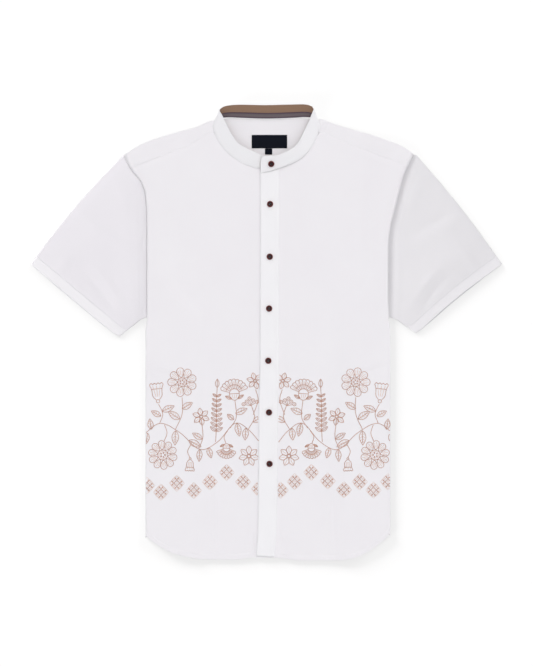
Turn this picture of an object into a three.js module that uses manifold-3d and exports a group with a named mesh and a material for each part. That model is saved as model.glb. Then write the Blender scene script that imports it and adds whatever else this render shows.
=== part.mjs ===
import * as THREE from 'three';
import Module from 'manifold-3d';
import { mergeVertices } from 'three/addons/utils/BufferGeometryUtils.js';

// Short-sleeved shirt with a band collar, laid flat on its back with the front up.
// Millimetres. +Y runs from the hem to the collar, +Z up from the table, -X is the wearer's right.

// Cloth: one wall, and the step from one layer to the next that lies on it
const CLOTH = 1.0;
const GAP = 0.3;
const LAYER = CLOTH + GAP;
const HEM_EXTRA = 0.4;
const HEM_DEPTH = 7.5;
const CUFF_DEPTH = 17;
const CUFF_ROUND = 3;
const CUFF_CORNER = 0.08;
const HEM_STEP = 0.5;

// Body: the sides are folded under by SIDE_FLAP, up to FLAP_TOP
const SIDE_FLAP = 64;
const FLAP_TOP = 20;
const BACK_YOKE_SEAM = 255;
const EDGE_LEFT = -197.2;
const EDGE_RIGHT = 200.6;
const FLARE_POWER = 8;

// Lift of the body where the flaps and the sleeve heads lie under its edges
const LIFT = 2 * LAYER;
const LIFT_RUN = 28;
const LIFT_MARGIN = 5;
const SLEEVE_TUCK = 11;
const ARM_INSET = 15;
const ARM_LEVELS = [38, 57, 76, 95, 140, 175, 205, 230];
const ARM_LIFT_TOP = 95;

// Neck
const NECK_HALF = 86;
const NECK_SIDE = 90;
const NECK_CLEAR = 2;

// Placket and its buttons
const PLACKET_WALL = 1.4;
const PLACKET_EDGE = 5;
const PLACKET_COVER = 23;
const PLACKET_THINNING = 0.2;
const PLACKET_ROWS = 16;
const BUTTON_RADIUS = 5.2;
const BUTTON_HEIGHT = 2.6;
const BUTTON_RIM = 0.9;
const BUTTON_DISH = 0.6;
const BUTTON_FOOT_BEVEL = 0.8;
const BUTTON_SIDE_BEVEL = 0.6;
const BUTTON_TOP_BEVEL = 0.5;
const BUTTON_DISH_SLOPE = 0.8;
const BUTTON_FACETS = 20;
const HOLE_RADIUS = 0.75;
const HOLE_PITCH = 1.3;
const HOLE_FACETS = 6;

// Collar
const COLLAR_SWEEP = 60;
const COLLAR_STEPS = 4;
const BAND_LAYER = CLOTH + 0.4;
const BAND_HEIGHT = 25;
const STATION_LENGTH = 17;
const FACING_START = 0.18;
const FACING_STEPS = 2;
const TAPE_START = 0.04;
const TAPE_TOP = 0.44;
const TAPE_FROM = 0.385;
const TAPE_TO = 0.625;
const TAPE_SWEEP = 14;
const TAB_RADIUS = 7;
const COLLAR_BUTTON_BACK = 1.1;

// Sleeves: the tuck of the root eases off towards the shoulder; heights of the cloth over the table
const TUCK_EASE = 0.7;
const TUCK_EASE_FROM = 240;
const TUCK_EASE_TO = 285;
const ROOT_DROP = 4;
const SEAM_DROP = 1;
const VALLEY_SHARE = 0.75;
const VALLEY_LOFT = 0.1;
const RIDGE_LOFT = 2.6;
const CUFF_MARGIN = 3;
const SLEEVE_SWELL = [0.75, 0.66];
const SLEEVE_LENGTH = 200;
const LOFT_GAIN = 1.1;

// Sizes of the steps that the shapes are worked out with
const MERGE = 1e-4;
const SETTLE_TURNS = 8;
const MEETING_TURNS = 4;
const END_SHARE = 0.02;
const ALONG_STEP = 0.002;
const UP_STEP = 0.1;

// Height of the middle of the wall of layer n, counted from the table
const layerMid = (n) => CLOTH / 2 + n * LAYER;

// Side edges of the body: straight folds below, armhole seams above
const SIDE_EDGE = {
  left: [
    { y: -420, x: -199.7 },
    { y: 0, x: -199.7 },
    { y: 27, x: -197.2 },
    { y: 193, x: -197.2 },
    { y: 227, x: -199.7 },
    { y: 248, x: -207 },
    { y: 268, x: -222.8 },
    { y: 290, x: -234 },
    { y: 302, x: -236 },
  ],
  right: [
    { y: -420, x: 204.6 },
    { y: 0, x: 204.6 },
    { y: 28, x: 202 },
    { y: 65, x: 200.5 },
    { y: 141, x: 200.8 },
    { y: 172, x: 203.8 },
    { y: 199, x: 210.4 },
    { y: 234, x: 219.1 },
    { y: 258, x: 225.7 },
    { y: 278, x: 234.6 },
    { y: 294, x: 241.7 },
    { y: 304, x: 243.5 },
  ],
};

// Ridges of the sleeves, along the outer side of the armhole valleys
const SLEEVE_RIDGE = {
  left: [
    { y: 10, x: -208 },
    { y: 200, x: -208.5 },
    { y: 230, x: -209.5 },
    { y: 250, x: -212.5 },
    { y: 268, x: -225.5 },
    { y: 292, x: -236 },
  ],
  right: [
    { y: 10, x: 214.8 },
    { y: 54, x: 214.8 },
    { y: 150, x: 215.8 },
    { y: 177, x: 219.1 },
    { y: 221, x: 230.2 },
    { y: 245, x: 236.8 },
    { y: 263, x: 245.5 },
    { y: 276, x: 249.5 },
    { y: 296, x: 247 },
  ],
};

// Hem: shirt tails, from the side seam that is folded under on one side to the other
const HEM = [
  { x: -264, y: -287 },
  { x: -230, y: -312 },
  { x: -199.7, y: -335 },
  { x: -178.5, y: -351 },
  { x: -155, y: -363.7 },
  { x: -131, y: -370 },
  { x: -107.6, y: -373.9 },
  { x: -52, y: -374.7 },
  { x: -20.8, y: -371.6 },
  { x: 14, y: -371.6 },
  { x: 57, y: -376 },
  { x: 116, y: -376 },
  { x: 141, y: -373 },
  { x: 166, y: -362 },
  { x: 191.7, y: -343.5 },
  { x: 206.7, y: -328.4 },
  { x: 235, y: -303 },
  { x: 270, y: -280 },
];

// Shoulder folds, front yoke seams and necklines
const SHOULDER = [
  { x: -236, y: 292 },
  { x: -210, y: 308.4 },
  { x: -178.5, y: 321.1 },
  { x: -147, y: 330.5 },
  { x: -115.5, y: 339.2 },
  { x: -89, y: 349.5 },
  { x: 89, y: 352 },
  { x: 106.8, y: 346 },
  { x: 140.4, y: 335.6 },
  { x: 174, y: 325.9 },
  { x: 207.7, y: 314.2 },
  { x: 229.7, y: 303.9 },
  { x: 244, y: 292.5 },
];
const YOKE_SEAM = [
  { x: -236, y: 264 },
  { x: -210, y: 275.2 },
  { x: -131.7, y: 306.4 },
  { x: -121.8, y: 311.5 },
  { x: -88, y: 330 },
  { x: 88, y: 328.5 },
  { x: 123.6, y: 315.8 },
  { x: 157.2, y: 302.3 },
  { x: 190.9, y: 288.9 },
  { x: 244, y: 271 },
];
const FRONT_NECK = [
  { x: -88, y: 329.5 },
  { x: -83, y: 326.5 },
  { x: -75, y: 313.5 },
  { x: -61.5, y: 297.5 },
  { x: -40.5, y: 282.6 },
  { x: -20, y: 275.3 },
  { x: 0, y: 271 },
  { x: 24, y: 274.5 },
  { x: 40.3, y: 280.9 },
  { x: 55.6, y: 289.5 },
  { x: 69.3, y: 303.6 },
  { x: 78, y: 318 },
  { x: 83, y: 325 },
  { x: 88, y: 328 },
];
const BACK_NECK = [
  { x: -90, y: 344 },
  { x: -84, y: 345.5 },
  { x: -76, y: 350.2 },
  { x: -64, y: 352.9 },
  { x: 0, y: 351.3 },
  { x: 64, y: 353 },
  { x: 76, y: 350.6 },
  { x: 84, y: 347 },
  { x: 90, y: 346 },
];

// Placket: its left edge and width; the foot leans to the left
const PLACKET = [
  { y: -370, left: -17.2, width: 29.6 },
  { y: -318, left: -13.7, width: 30.5 },
  { y: -200, left: -12.6, width: 31 },
  { y: -120, left: -12, width: 31 },
  { y: -60, left: -10.4, width: 31 },
  { y: 272, left: -9.9, width: 31 },
];
const PLACKET_TOP = { left: 265.3, right: 270.8 };
const PLACKET_FOOT = { left: -368.8, right: -370.6 };

// Collar band, from the end under the placket, round the back, to the end on top
const COLLAR = [
  { seamX: 10, seamY: 272.6, seamZ: 3.5, topX: 10, topY: 290, topZ: 11.6 },
  { seamX: -8, seamY: 271.6, seamZ: 3.4, topX: -6, topY: 291.2, topZ: 12.0 },
  { seamX: -16, seamY: 270.6, seamZ: 3.2, topX: -12, topY: 293.6, topZ: 12.6 },
  { seamX: -27, seamY: 274.3, seamZ: 3.1, topX: -20.5, topY: 297.8, topZ: 12.8 },
  { seamX: -42, seamY: 280, seamZ: 3.1, topX: -30, topY: 302, topZ: 12.9 },
  { seamX: -64, seamY: 295.8, seamZ: 3.1, topX: -47, topY: 312.3, topZ: 13 },
  { seamX: -78.2, seamY: 313.2, seamZ: 3.1, topX: -57.5, topY: 327, topZ: 13 },
  { seamX: -86.1, seamY: 330.5, seamZ: 3.1, topX: -66.5, topY: 344.5, topZ: 13 },
  { seamX: -88, seamY: 341, seamZ: 3.0, topX: -72.5, topY: 356.5, topZ: 12.8 },
  { seamX: -84.8, seamY: 349.6, seamZ: 2.3, topX: -77.2, topY: 366, topZ: 12.2 },
  { seamX: -76, seamY: 353.6, seamZ: 1.2, topX: -71, topY: 371.4, topZ: 11.4 },
  { seamX: -62, seamY: 354.6, seamZ: 0.6, topX: -61, topY: 373.9, topZ: 10.6 },
  { seamX: -42, seamY: 353.6, seamZ: 0.6, topX: -42, topY: 375, topZ: 10.3 },
  { seamX: 0, seamY: 352.3, seamZ: 0.6, topX: 0, topY: 374.4, topZ: 10.2 },
  { seamX: 42, seamY: 353.6, seamZ: 0.6, topX: 42, topY: 375.4, topZ: 10.3 },
  { seamX: 62, seamY: 354.9, seamZ: 0.6, topX: 61, topY: 375.6, topZ: 10.6 },
  { seamX: 76, seamY: 354, seamZ: 1.2, topX: 71.5, topY: 373.6, topZ: 11.4 },
  { seamX: 84.6, seamY: 350, seamZ: 2.3, topX: 77.4, topY: 368.5, topZ: 12.2 },
  { seamX: 87.6, seamY: 341, seamZ: 3.1, topX: 73.5, topY: 357, topZ: 12.8 },
  { seamX: 85.5, seamY: 330, seamZ: 3.2, topX: 66.8, topY: 341.4, topZ: 13 },
  { seamX: 80.8, seamY: 317.5, seamZ: 3.4, topX: 60.5, topY: 328.6, topZ: 13.3 },
  { seamX: 71.8, seamY: 302.1, seamZ: 3.7, topX: 53.5, topY: 314.6, topZ: 13.7 },
  { seamX: 57.6, seamY: 287.1, seamZ: 4.2, topX: 44, topY: 304, topZ: 14.1 },
  { seamX: 41.7, seamY: 278.4, seamZ: 4.8, topX: 31.5, topY: 297.2, topZ: 14.6 },
  { seamX: 23.6, seamY: 271.3, seamZ: 5.6, topX: 18, topY: 291.6, topZ: 15.2 },
  { seamX: 7, seamY: 266.2, seamZ: 6, topX: 5, topY: 290.6, topZ: 15.6 },
  { seamX: -10, seamY: 262.3, seamZ: 6, topX: -10, topY: 290.2, topZ: 15.6 },
];

// Sleeves: the long fold on top, the short fold at the underarm, and the cuff between their ends
const SLEEVES = {
  sleeve_left: {
    side: -1,
    edge: 'left',
    rootLow: 33,
    edgeLow: 25,
    ridgeLow: 20,
    top: 290,
    ridgeTop: 290.5,
    cuffInner: [-246, -6.5],
    cuffOuter: [-388.9, 112.9],
    cuffBow: 0,
    topBow: 5,
  },
  sleeve_right: {
    side: 1,
    edge: 'right',
    rootLow: 33,
    edgeLow: 25,
    ridgeLow: 20,
    top: 291,
    ridgeTop: 289.5,
    cuffInner: [247.5, -3],
    cuffOuter: [388.9, 112.2],
    cuffBow: -4,
    topBow: 4,
  },
};
const SLEEVE_ROWS = [
  { of: 'cuff', share: 0.12, loft: 3.2 },
  { of: 'cuff', share: 0.35, loft: 2.4 },
  { of: 'cuff', share: 0.65, loft: 2.0 },
  { of: 'stitch', share: 1, loft: 1.6 },
  { of: 'turned', share: 1, loft: 1.6 },
  { of: 'cuff', share: 1, loft: 1.4 },
];

// Buttons: one on the collar, six on the placket
const BUTTONS = [
  { x: 5.1, y: 277.7 },
  { x: 5.9, y: 211.5 },
  { x: 5.4, y: 124.7 },
  { x: 4.3, y: 39.3 },
  { x: 3.0, y: -46.7 },
  { x: 4.1, y: -131.8 },
  { x: 5.0, y: -216.6 },
];

// Labels on the inside of the back yoke
const NECK_LABEL = { left: -24.4, right: 34, low: 303.6, high: 325.7 };
const SIZE_TAB = { left: -2.5, right: 9.4, low: 293.4, high: 303.3 };

const FINISH = {
  shirting: { color: '#ececef', roughness: 0.85, metalness: 0 },
  tanCloth: { color: '#8b6e5a', roughness: 0.85, metalness: 0 },
  tape: { color: '#665a5c', roughness: 0.8, metalness: 0 },
  label: { color: '#1c1f2a', roughness: 0.7, metalness: 0 },
  button: { color: '#3a191a', roughness: 0.25, metalness: 0 },
};

const lerp = THREE.MathUtils.lerp;
const clamp = THREE.MathUtils.clamp;
const smoothstep = THREE.MathUtils.smoothstep;

// Value of one column of a table as a smooth function of another, with no overshoot between rows
function through(table, key, out) {
  const last = table.length - 1;
  const rise = (n) => (table[n + 1][out] - table[n][out]) / (table[n + 1][key] - table[n][key]);
  const lean = table.map((row, n) => {
    const before = rise(Math.max(n - 1, 0));
    const after = rise(Math.min(n, last - 1));
    return before * after > 0 ? (2 * before * after) / (before + after) : 0;
  });
  return (value) => {
    const at = clamp(value, table[0][key], table[last][key]);
    let n = table.findIndex((row) => row[key] >= at) - 1;
    n = clamp(n, 0, last - 1);
    const span = table[n + 1][key] - table[n][key];
    const t = (at - table[n][key]) / span;
    const start = table[n][out] * (1 + 2 * t) + lean[n] * span * t;
    const end = table[n + 1][out] * (3 - 2 * t) - lean[n + 1] * span * (1 - t);
    return start * (1 - t) ** 2 + end * t ** 2;
  };
}

const edge = {
  left: through(SIDE_EDGE.left, 'y', 'x'),
  right: through(SIDE_EDGE.right, 'y', 'x'),
};
const ridge = {
  left: through(SLEEVE_RIDGE.left, 'y', 'x'),
  right: through(SLEEVE_RIDGE.right, 'y', 'x'),
};
const hem = through(HEM, 'x', 'y');
const shoulder = through(SHOULDER, 'x', 'y');
const yokeSeam = through(YOKE_SEAM, 'x', 'y');
const frontNeck = through(FRONT_NECK, 'x', 'y');
const backNeck = through(BACK_NECK, 'x', 'y');
const placketLeft = through(PLACKET, 'y', 'left');
const placketWidth = through(PLACKET, 'y', 'width');

// Place across the body at height y of the point that is x from the middle where the sides are
// straight: the outermost ones follow the flare of the armholes
function flared(x, y) {
  const base = x < 0 ? EDGE_LEFT : EDGE_RIGHT;
  const side = x < 0 ? edge.left : edge.right;
  return x + (x / base) ** FLARE_POWER * (side(y) - base);
}

// Height of the body over the table: raised at the sides over the flaps, and at the armholes
// over the sleeve heads
function lift(x, y) {
  const inset = lerp(SIDE_FLAP, ARM_INSET, smoothstep(y, FLAP_TOP, ARM_LIFT_TOP)) + LIFT_MARGIN;
  const inward = x < 0 ? x - EDGE_LEFT : EDGE_RIGHT - x;
  return LIFT * (1 - smoothstep(inward, inset, inset + LIFT_RUN));
}

// Closed wall of cloth on a grid of points on its middle surface. The outer side is the one that
// the cross product of the column and row directions points to.
function wall({ rows, columns, point, keep = () => true, ring = false, thick }) {
  const walls = thick ?? (() => [CLOTH / 2, CLOTH / 2]);
  const at = (i, j) => i * columns + (j % columns);
  const middle = [];
  for (let i = 0; i < rows; i++) {
    for (let j = 0; j < columns; j++) {
      middle.push(new THREE.Vector3(...point(i, j)));
    }
  }
  const cellColumns = ring ? columns : columns - 1;
  const normals = middle.map(() => new THREE.Vector3());
  const cells = new Map();
  for (let i = 0; i < rows - 1; i++) {
    for (let j = 0; j < cellColumns; j++) {
      if (!keep(i, j)) continue;
      const corners = [at(i, j), at(i, j + 1), at(i + 1, j + 1), at(i + 1, j)];
      cells.set(at(i, j), corners);
      const [a, b, c, d] = corners.map((n) => middle[n]);
      const across = new THREE.Vector3().subVectors(c, a).cross(new THREE.Vector3().subVectors(d, b));
      across.normalize();
      corners.forEach((n) => normals[n].add(across));
    }
  }
  const outer = [];
  const inner = [];
  middle.forEach((p, n) => {
    normals[n].normalize();
    const [up, down] = walls(Math.floor(n / columns), n % columns);
    outer.push(p.clone().addScaledVector(normals[n], up));
    inner.push(p.clone().addScaledVector(normals[n], -down));
  });
  const points = [...outer, ...inner];
  const under = middle.length;
  const faces = [];
  const quad = (a, b, c, d) => {
    const short = points[a].distanceToSquared(points[c]) <= points[b].distanceToSquared(points[d]);
    faces.push(...(short ? [a, b, c, a, c, d] : [a, b, d, b, c, d]));
  };
  const has = (i, j) => {
    const column = ring ? (j + columns) % columns : j;
    return i >= 0 && column >= 0 && column < cellColumns && cells.has(at(i, column));
  };
  cells.forEach(([a, b, c, d], key) => {
    const i = Math.floor(key / columns);
    const j = key % columns;
    quad(a, b, c, d);
    quad(a + under, d + under, c + under, b + under);
    const sides = [
      [a, b, has(i - 1, j)],
      [b, c, has(i, j + 1)],
      [c, d, has(i + 1, j)],
      [d, a, has(i, j - 1)],
    ];
    sides.filter(([, , joined]) => !joined).forEach(([p, q]) => quad(q, p, p + under, q + under));
  });
  const geometry = new THREE.BufferGeometry();
  geometry.setAttribute('position', new THREE.Float32BufferAttribute(points.flatMap((p) => p.toArray()), 3));
  geometry.setIndex(faces);
  return packed(geometry);
}

// Same geometry with only the points that its faces use
function packed(geometry) {
  const bare = new THREE.BufferGeometry();
  const source = geometry.getAttribute('position');
  const spot = (n) => [source.getX(n), source.getY(n), source.getZ(n)];
  const spots = Array.from(geometry.index.array).flatMap(spot);
  bare.setAttribute('position', new THREE.Float32BufferAttribute(spots, 3));
  const merged = mergeVertices(bare, MERGE);
  merged.computeVertexNormals();
  return merged;
}

// Points of a half turn from the upper layer, round the fold, to the lower one
function halfTurn(steps, centreX, centreZ, radius, side) {
  return Array.from({ length: steps - 1 }, (_, n) => {
    const angle = (Math.PI * (n + 1)) / steps;
    return { x: centreX + side * radius * Math.sin(angle), z: centreZ + radius * Math.cos(angle) };
  });
}

// Rows from the hem up: the turned hem, the part with side flaps, the armholes, and the top
const ROWS_LOW = 6;
const ROWS_TOP = 2;
const HEM_ROWS = [0, HEM_DEPTH, HEM_DEPTH + HEM_STEP];
const TURNED_ROWS = 2;
const FLAP_ROW = HEM_ROWS.length - 1 + ROWS_LOW;
const BACK_TOP = BACK_YOKE_SEAM - GAP;
const SHARED_LEVELS = [...ARM_LEVELS, BACK_TOP];
const BACK_ROWS = FLAP_ROW + SHARED_LEVELS.length + 1;
const FRONT_ROWS = BACK_ROWS + ROWS_TOP;

function rowY(i, low, high) {
  if (i < HEM_ROWS.length) return low + HEM_ROWS[i];
  const first = low + HEM_ROWS[HEM_ROWS.length - 1];
  if (i <= FLAP_ROW) return lerp(first, FLAP_TOP, (i - HEM_ROWS.length + 1) / ROWS_LOW);
  if (i < BACK_ROWS) return SHARED_LEVELS[i - FLAP_ROW - 1];
  return lerp(BACK_TOP, high, (i - BACK_ROWS + 1) / ROWS_TOP);
}

// Half turns at the sides: the front panels go round the back panel
const FOLD_Z = (layerMid(0) + layerMid(3)) / 2;
const FRONT_TURN = (layerMid(3) - layerMid(0)) / 2;
const BACK_TURN = (layerMid(2) - layerMid(1)) / 2;
const TURN_STEPS = 4;
const FLAP_COLUMNS = 2;

const foldX = (side, y) => (side < 0 ? edge.left(y) : edge.right(y)) - side * (FRONT_TURN + CLOTH / 2);

// Points of a panel on one side of the body, from the edge round the fold to the end of the flap
function foldPoint(side, n, y, turn) {
  const centre = foldX(side, y);
  const bends = halfTurn(TURN_STEPS, centre, FOLD_Z, turn, side);
  if (n < bends.length) return [bends[n].x, y, bends[n].z];
  const share = (n - bends.length) / FLAP_COLUMNS;
  return [centre - side * SIDE_FLAP * share, y, FOLD_Z - turn];
}
const FOLD_COLUMNS = TURN_STEPS - 1 + FLAP_COLUMNS + 1;

// Where a point of a flap would lie with the side opened out, for the curve of the hem
const opened = (side, x, y) => 2 * foldX(side, y) - x;

// Columns from the middle to the side: close together round the neck, then evenly to the edge
const NECK_COLUMNS = 9;
const SIDE_COLUMNS = 6;
const FLAT_COLUMNS = NECK_COLUMNS + SIDE_COLUMNS + 1;
function columnX(side, n) {
  const base = side < 0 ? EDGE_LEFT : EDGE_RIGHT;
  if (n < NECK_COLUMNS) {
    return side * NECK_HALF * Math.sin(((n + 0.5) / (NECK_COLUMNS - 0.5)) * (Math.PI / 2));
  }
  return lerp(side * NECK_SIDE, base, (n - NECK_COLUMNS) / SIDE_COLUMNS);
}

// A point where x and y depend on each other, found by turns
function settled(x0, line) {
  let x = x0;
  for (let n = 0; n < SETTLE_TURNS; n++) {
    x = flared(x0, line(x));
  }
  return [x, line(x)];
}

// One point of the flat part of a body panel in layer n
function panelPoint(side, x0, i, layer, low, high) {
  const [x, y] = settled(x0, (at) => rowY(i, low(at), high(at)));
  const atEdge = Math.abs(x0) >= Math.abs(side < 0 ? EDGE_LEFT : EDGE_RIGHT);
  if (atEdge && i <= FLAP_ROW) return [foldX(side, y), y, layerMid(layer) + LIFT];
  return [x, y, layerMid(layer) + lift(x0, y)];
}

// One point of the part of a body panel that is folded under
function flapPoint(side, n, i, turn, low) {
  const [x] = foldPoint(side, n, 0, turn);
  const y = rowY(Math.min(i, FLAP_ROW), low(opened(side, x, 0)), 0);
  return foldPoint(side, n, y, turn);
}

// Front panel: the columns beside the placket follow its slant. The first ones on the right are
// FRONT_STEP apart, and on the left FRONT_SPREAD times the first column of the back.
const FRONT_STEP = 4;
const FRONT_SPREAD = 1.3;
function frontGeometry(side) {
  const flat = FLAT_COLUMNS + 1;
  const columns = flat + FOLD_COLUMNS;
  const meeting = (y) => placketLeft(y) + PLACKET_COVER + (side > 0 ? GAP : 0);
  const top = (x) => (Math.abs(x) > NECK_HALF + NECK_CLEAR ? yokeSeam(x) - GAP : frontNeck(x));
  const point = (i, j) => {
    if (j >= flat) return flapPoint(side, j - flat, i, FRONT_TURN, hem);
    if (j > 0 && side * columnX(side, j - 1) > PLACKET_COVER) {
      return panelPoint(side, columnX(side, j - 1), i, 1, hem, top);
    }
    const aside = side > 0 ? FRONT_STEP * j : columnX(side, 0) * j * FRONT_SPREAD;
    let y = 0;
    for (let n = 0; n < MEETING_TURNS; n++) {
      const x = meeting(y) + aside;
      y = rowY(i, hem(x), top(x));
    }
    return [meeting(y) + aside, y, layerMid(1)];
  };
  const mirrored = (j) => (side < 0 ? columns - 1 - j : j);
  const turned = (i, j) => i < TURNED_ROWS && mirrored(j) > 1 && mirrored(j) < flat;
  return wall({
    rows: FRONT_ROWS,
    columns,
    point: (i, j) => point(i, mirrored(j)),
    keep: (i, j) => i < FLAP_ROW || (side < 0 ? mirrored(j) - 1 : j) < flat - 1,
    thick: (i, j) => [CLOTH / 2 + (turned(i, j) ? HEM_EXTRA : 0), CLOTH / 2],
  });
}

// Back: between the flaps of the fronts, up to the seam of the back yoke
const BACK_HEM = 1;
function backGeometry() {
  const half = SIDE_COLUMNS + 2;
  const across = 2 * half;
  const columns = across + 1 + 2 * FOLD_COLUMNS;
  const low = (x) => hem(x) + BACK_HEM;
  const point = (i, j) => {
    const n = j - FOLD_COLUMNS;
    if (n < 0) return flapPoint(-1, -n - 1, i, BACK_TURN, low);
    if (n > across) return flapPoint(1, n - across - 1, i, BACK_TURN, low);
    const side = n < half ? -1 : 1;
    const out = Math.abs(n - half);
    const x0 = out > 1 ? columnX(side, NECK_COLUMNS + out - 2) : (side * out * NECK_SIDE) / 2;
    return panelPoint(side, x0, i, 0, low, () => BACK_TOP);
  };
  return wall({
    rows: BACK_ROWS,
    columns,
    point,
    keep: (i, j) => i < FLAP_ROW || (j >= FOLD_COLUMNS && j < FOLD_COLUMNS + across),
  });
}

// Yoke: from the front seams over the shoulders, and down the back
const YOKE_MIDDLE = 12;
const YOKE_FRONT = 3;
const YOKE_TURN = 3;
const YOKE_BACK = 4;
function yokeGeometry() {
  const last = SIDE_COLUMNS + YOKE_MIDDLE;
  const columns = last + SIDE_COLUMNS + 1;
  const across = (j) => {
    if (j <= SIDE_COLUMNS) return columnX(-1, NECK_COLUMNS + SIDE_COLUMNS - j);
    if (j >= last) return columnX(1, NECK_COLUMNS + j - last);
    return -NECK_SIDE * Math.cos(((j - SIDE_COLUMNS) / YOKE_MIDDLE) * Math.PI);
  };
  const turn = LAYER / 2;
  const crown = (x) => shoulder(x) - turn - CLOTH / 2;
  const firstBack = YOKE_FRONT + YOKE_TURN - 1;
  const point = (i, j) => {
    const x0 = across(j);
    if (i < YOKE_FRONT) {
      const [x, y] = settled(x0, (at) => lerp(yokeSeam(at), crown(at), i / (YOKE_FRONT - 1)));
      return [x, y, layerMid(1) + lift(x0, y)];
    }
    if (i < firstBack) {
      const [x, y] = settled(x0, crown);
      const angle = (Math.PI * (i - YOKE_FRONT + 1)) / YOKE_TURN;
      const z = layerMid(0) + turn + lift(x0, y);
      return [x, y + turn * Math.sin(angle), z + turn * Math.cos(angle)];
    }
    const high = j > SIDE_COLUMNS && j < last ? backNeck : crown;
    const share = (i - firstBack) / YOKE_BACK;
    const [x, y] = settled(x0, (at) => lerp(high(at), BACK_YOKE_SEAM, share));
    return [x, y, layerMid(0) + lift(x0, y)];
  };
  return wall({
    rows: firstBack + YOKE_BACK + 1,
    columns,
    point,
    keep: (i, j) => i >= firstBack || j < SIDE_COLUMNS || j >= last,
  });
}

// Sleeve: a flat tube. Its root is tucked under the edge of the body, a valley shows beside the
// edge, and a ridge follows the valley.
const SLEEVE_TOP_COLUMNS = 8;
const SLEEVE_LOW_COLUMNS = 5;
const SLEEVE_TURN = 3;
function sleeveGeometry(shape) {
  const { side } = shape;
  const body = edge[shape.edge];
  const hill = ridge[shape.edge];
  const cuffInner = new THREE.Vector2(...shape.cuffInner);
  const cuffOuter = new THREE.Vector2(...shape.cuffOuter);
  const along = new THREE.Vector2().subVectors(cuffOuter, cuffInner).normalize();
  const outward = new THREE.Vector2(along.y * side, -along.x * side);
  const upright = (xAt, low, high) => (q) => {
    const y = lerp(low, high, q);
    return new THREE.Vector2(xAt(y), y);
  };
  const bulge = (q) => Math.sin(Math.PI * q);
  const tuck = (y) => SLEEVE_TUCK * (1 - TUCK_EASE * smoothstep(y, TUCK_EASE_FROM, TUCK_EASE_TO));
  const root = upright((y) => body(y) - side * tuck(y), shape.rootLow, shape.top - ROOT_DROP);
  const seam = upright(body, shape.edgeLow, shape.top - SEAM_DROP);
  const crest = upright(hill, shape.ridgeLow, shape.ridgeTop);
  const cuff = (q) => {
    const straight = new THREE.Vector2().lerpVectors(cuffInner, cuffOuter, q);
    const corner = CUFF_ROUND * Math.max(0, 1 - q / CUFF_CORNER) ** 2;
    return straight.addScaledVector(outward, shape.cuffBow * bulge(q) - corner);
  };
  const toCuff = (q, share) => {
    const start = crest(q);
    const swell = shape.topBow * bulge(share) * q * q;
    const away = new THREE.Vector2(side * SLEEVE_SWELL[0], SLEEVE_SWELL[1]);
    return start.lerp(cuff(q), share).addScaledVector(away, swell);
  };
  const fromCuff = (q, depth) => {
    const length = crest(q).distanceTo(cuff(q));
    return toCuff(q, 1 - depth / length);
  };
  const stations = [
    { at: root, loft: 0 },
    { at: seam, loft: 0 },
    { at: (q) => seam(q).lerp(crest(q), VALLEY_SHARE), loft: VALLEY_LOFT },
    { at: crest, loft: RIDGE_LOFT },
    ...SLEEVE_ROWS.map(({ of, share, loft }) => {
      const limit = (q) => 1 - (CUFF_DEPTH + CUFF_MARGIN) / crest(q).distanceTo(cuff(q));
      const places = {
        cuff: (q) => toCuff(q, share < 1 ? share * limit(q) : 1),
        stitch: (q) => fromCuff(q, CUFF_DEPTH + HEM_STEP),
        turned: (q) => fromCuff(q, CUFF_DEPTH),
      };
      return { at: places[of], loft };
    }),
  ];
  const steps = [];
  for (let n = 0; n <= SLEEVE_TOP_COLUMNS; n++) {
    steps.push({ q: (1 - Math.cos((Math.PI * n) / SLEEVE_TOP_COLUMNS)) / 2, turn: 0 });
  }
  for (let n = 1; n < SLEEVE_TURN; n++) steps.push({ q: 1, turn: n / SLEEVE_TURN });
  for (let n = SLEEVE_LOW_COLUMNS; n >= 0; n--) steps.push({ q: n / SLEEVE_LOW_COLUMNS, turn: 1 });
  for (let n = SLEEVE_TURN - 1; n > 0; n--) steps.push({ q: 0, turn: n / SLEEVE_TURN });
  const radius = LAYER / 2;
  const point = (i, j) => {
    const { q, turn } = steps[j % steps.length];
    const station = stations[i];
    const inset = (radius + CLOTH / 2) / SLEEVE_LENGTH;
    const spot = station.at(lerp(inset, 1 - inset, q));
    const angle = turn * Math.PI;
    const end = q === 1 ? 1 : 0;
    const near = station.at(lerp(end, 1 - end, END_SHARE));
    const outer = station.at(end).sub(near).normalize();
    const push = turn > 0 && turn < 1 ? radius * Math.sin(angle) : 0;
    const dome = Math.min(1, Math.sqrt(4 * q * (1 - q)) * LOFT_GAIN);
    const loft = turn === 0 ? station.loft * dome : 0;
    const z = layerMid(0) + radius + radius * Math.cos(angle) + loft;
    return [spot.x + outer.x * push, spot.y + outer.y * push, z];
  };
  const columns = steps.length;
  return wall({
    rows: stations.length,
    columns,
    point: side < 0 ? (i, j) => point(i, (columns - j) % columns) : point,
    ring: true,
    thick: (i) => [CLOTH / 2 + (i >= stations.length - TURNED_ROWS ? HEM_EXTRA : 0), CLOTH / 2],
  });
}

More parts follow.
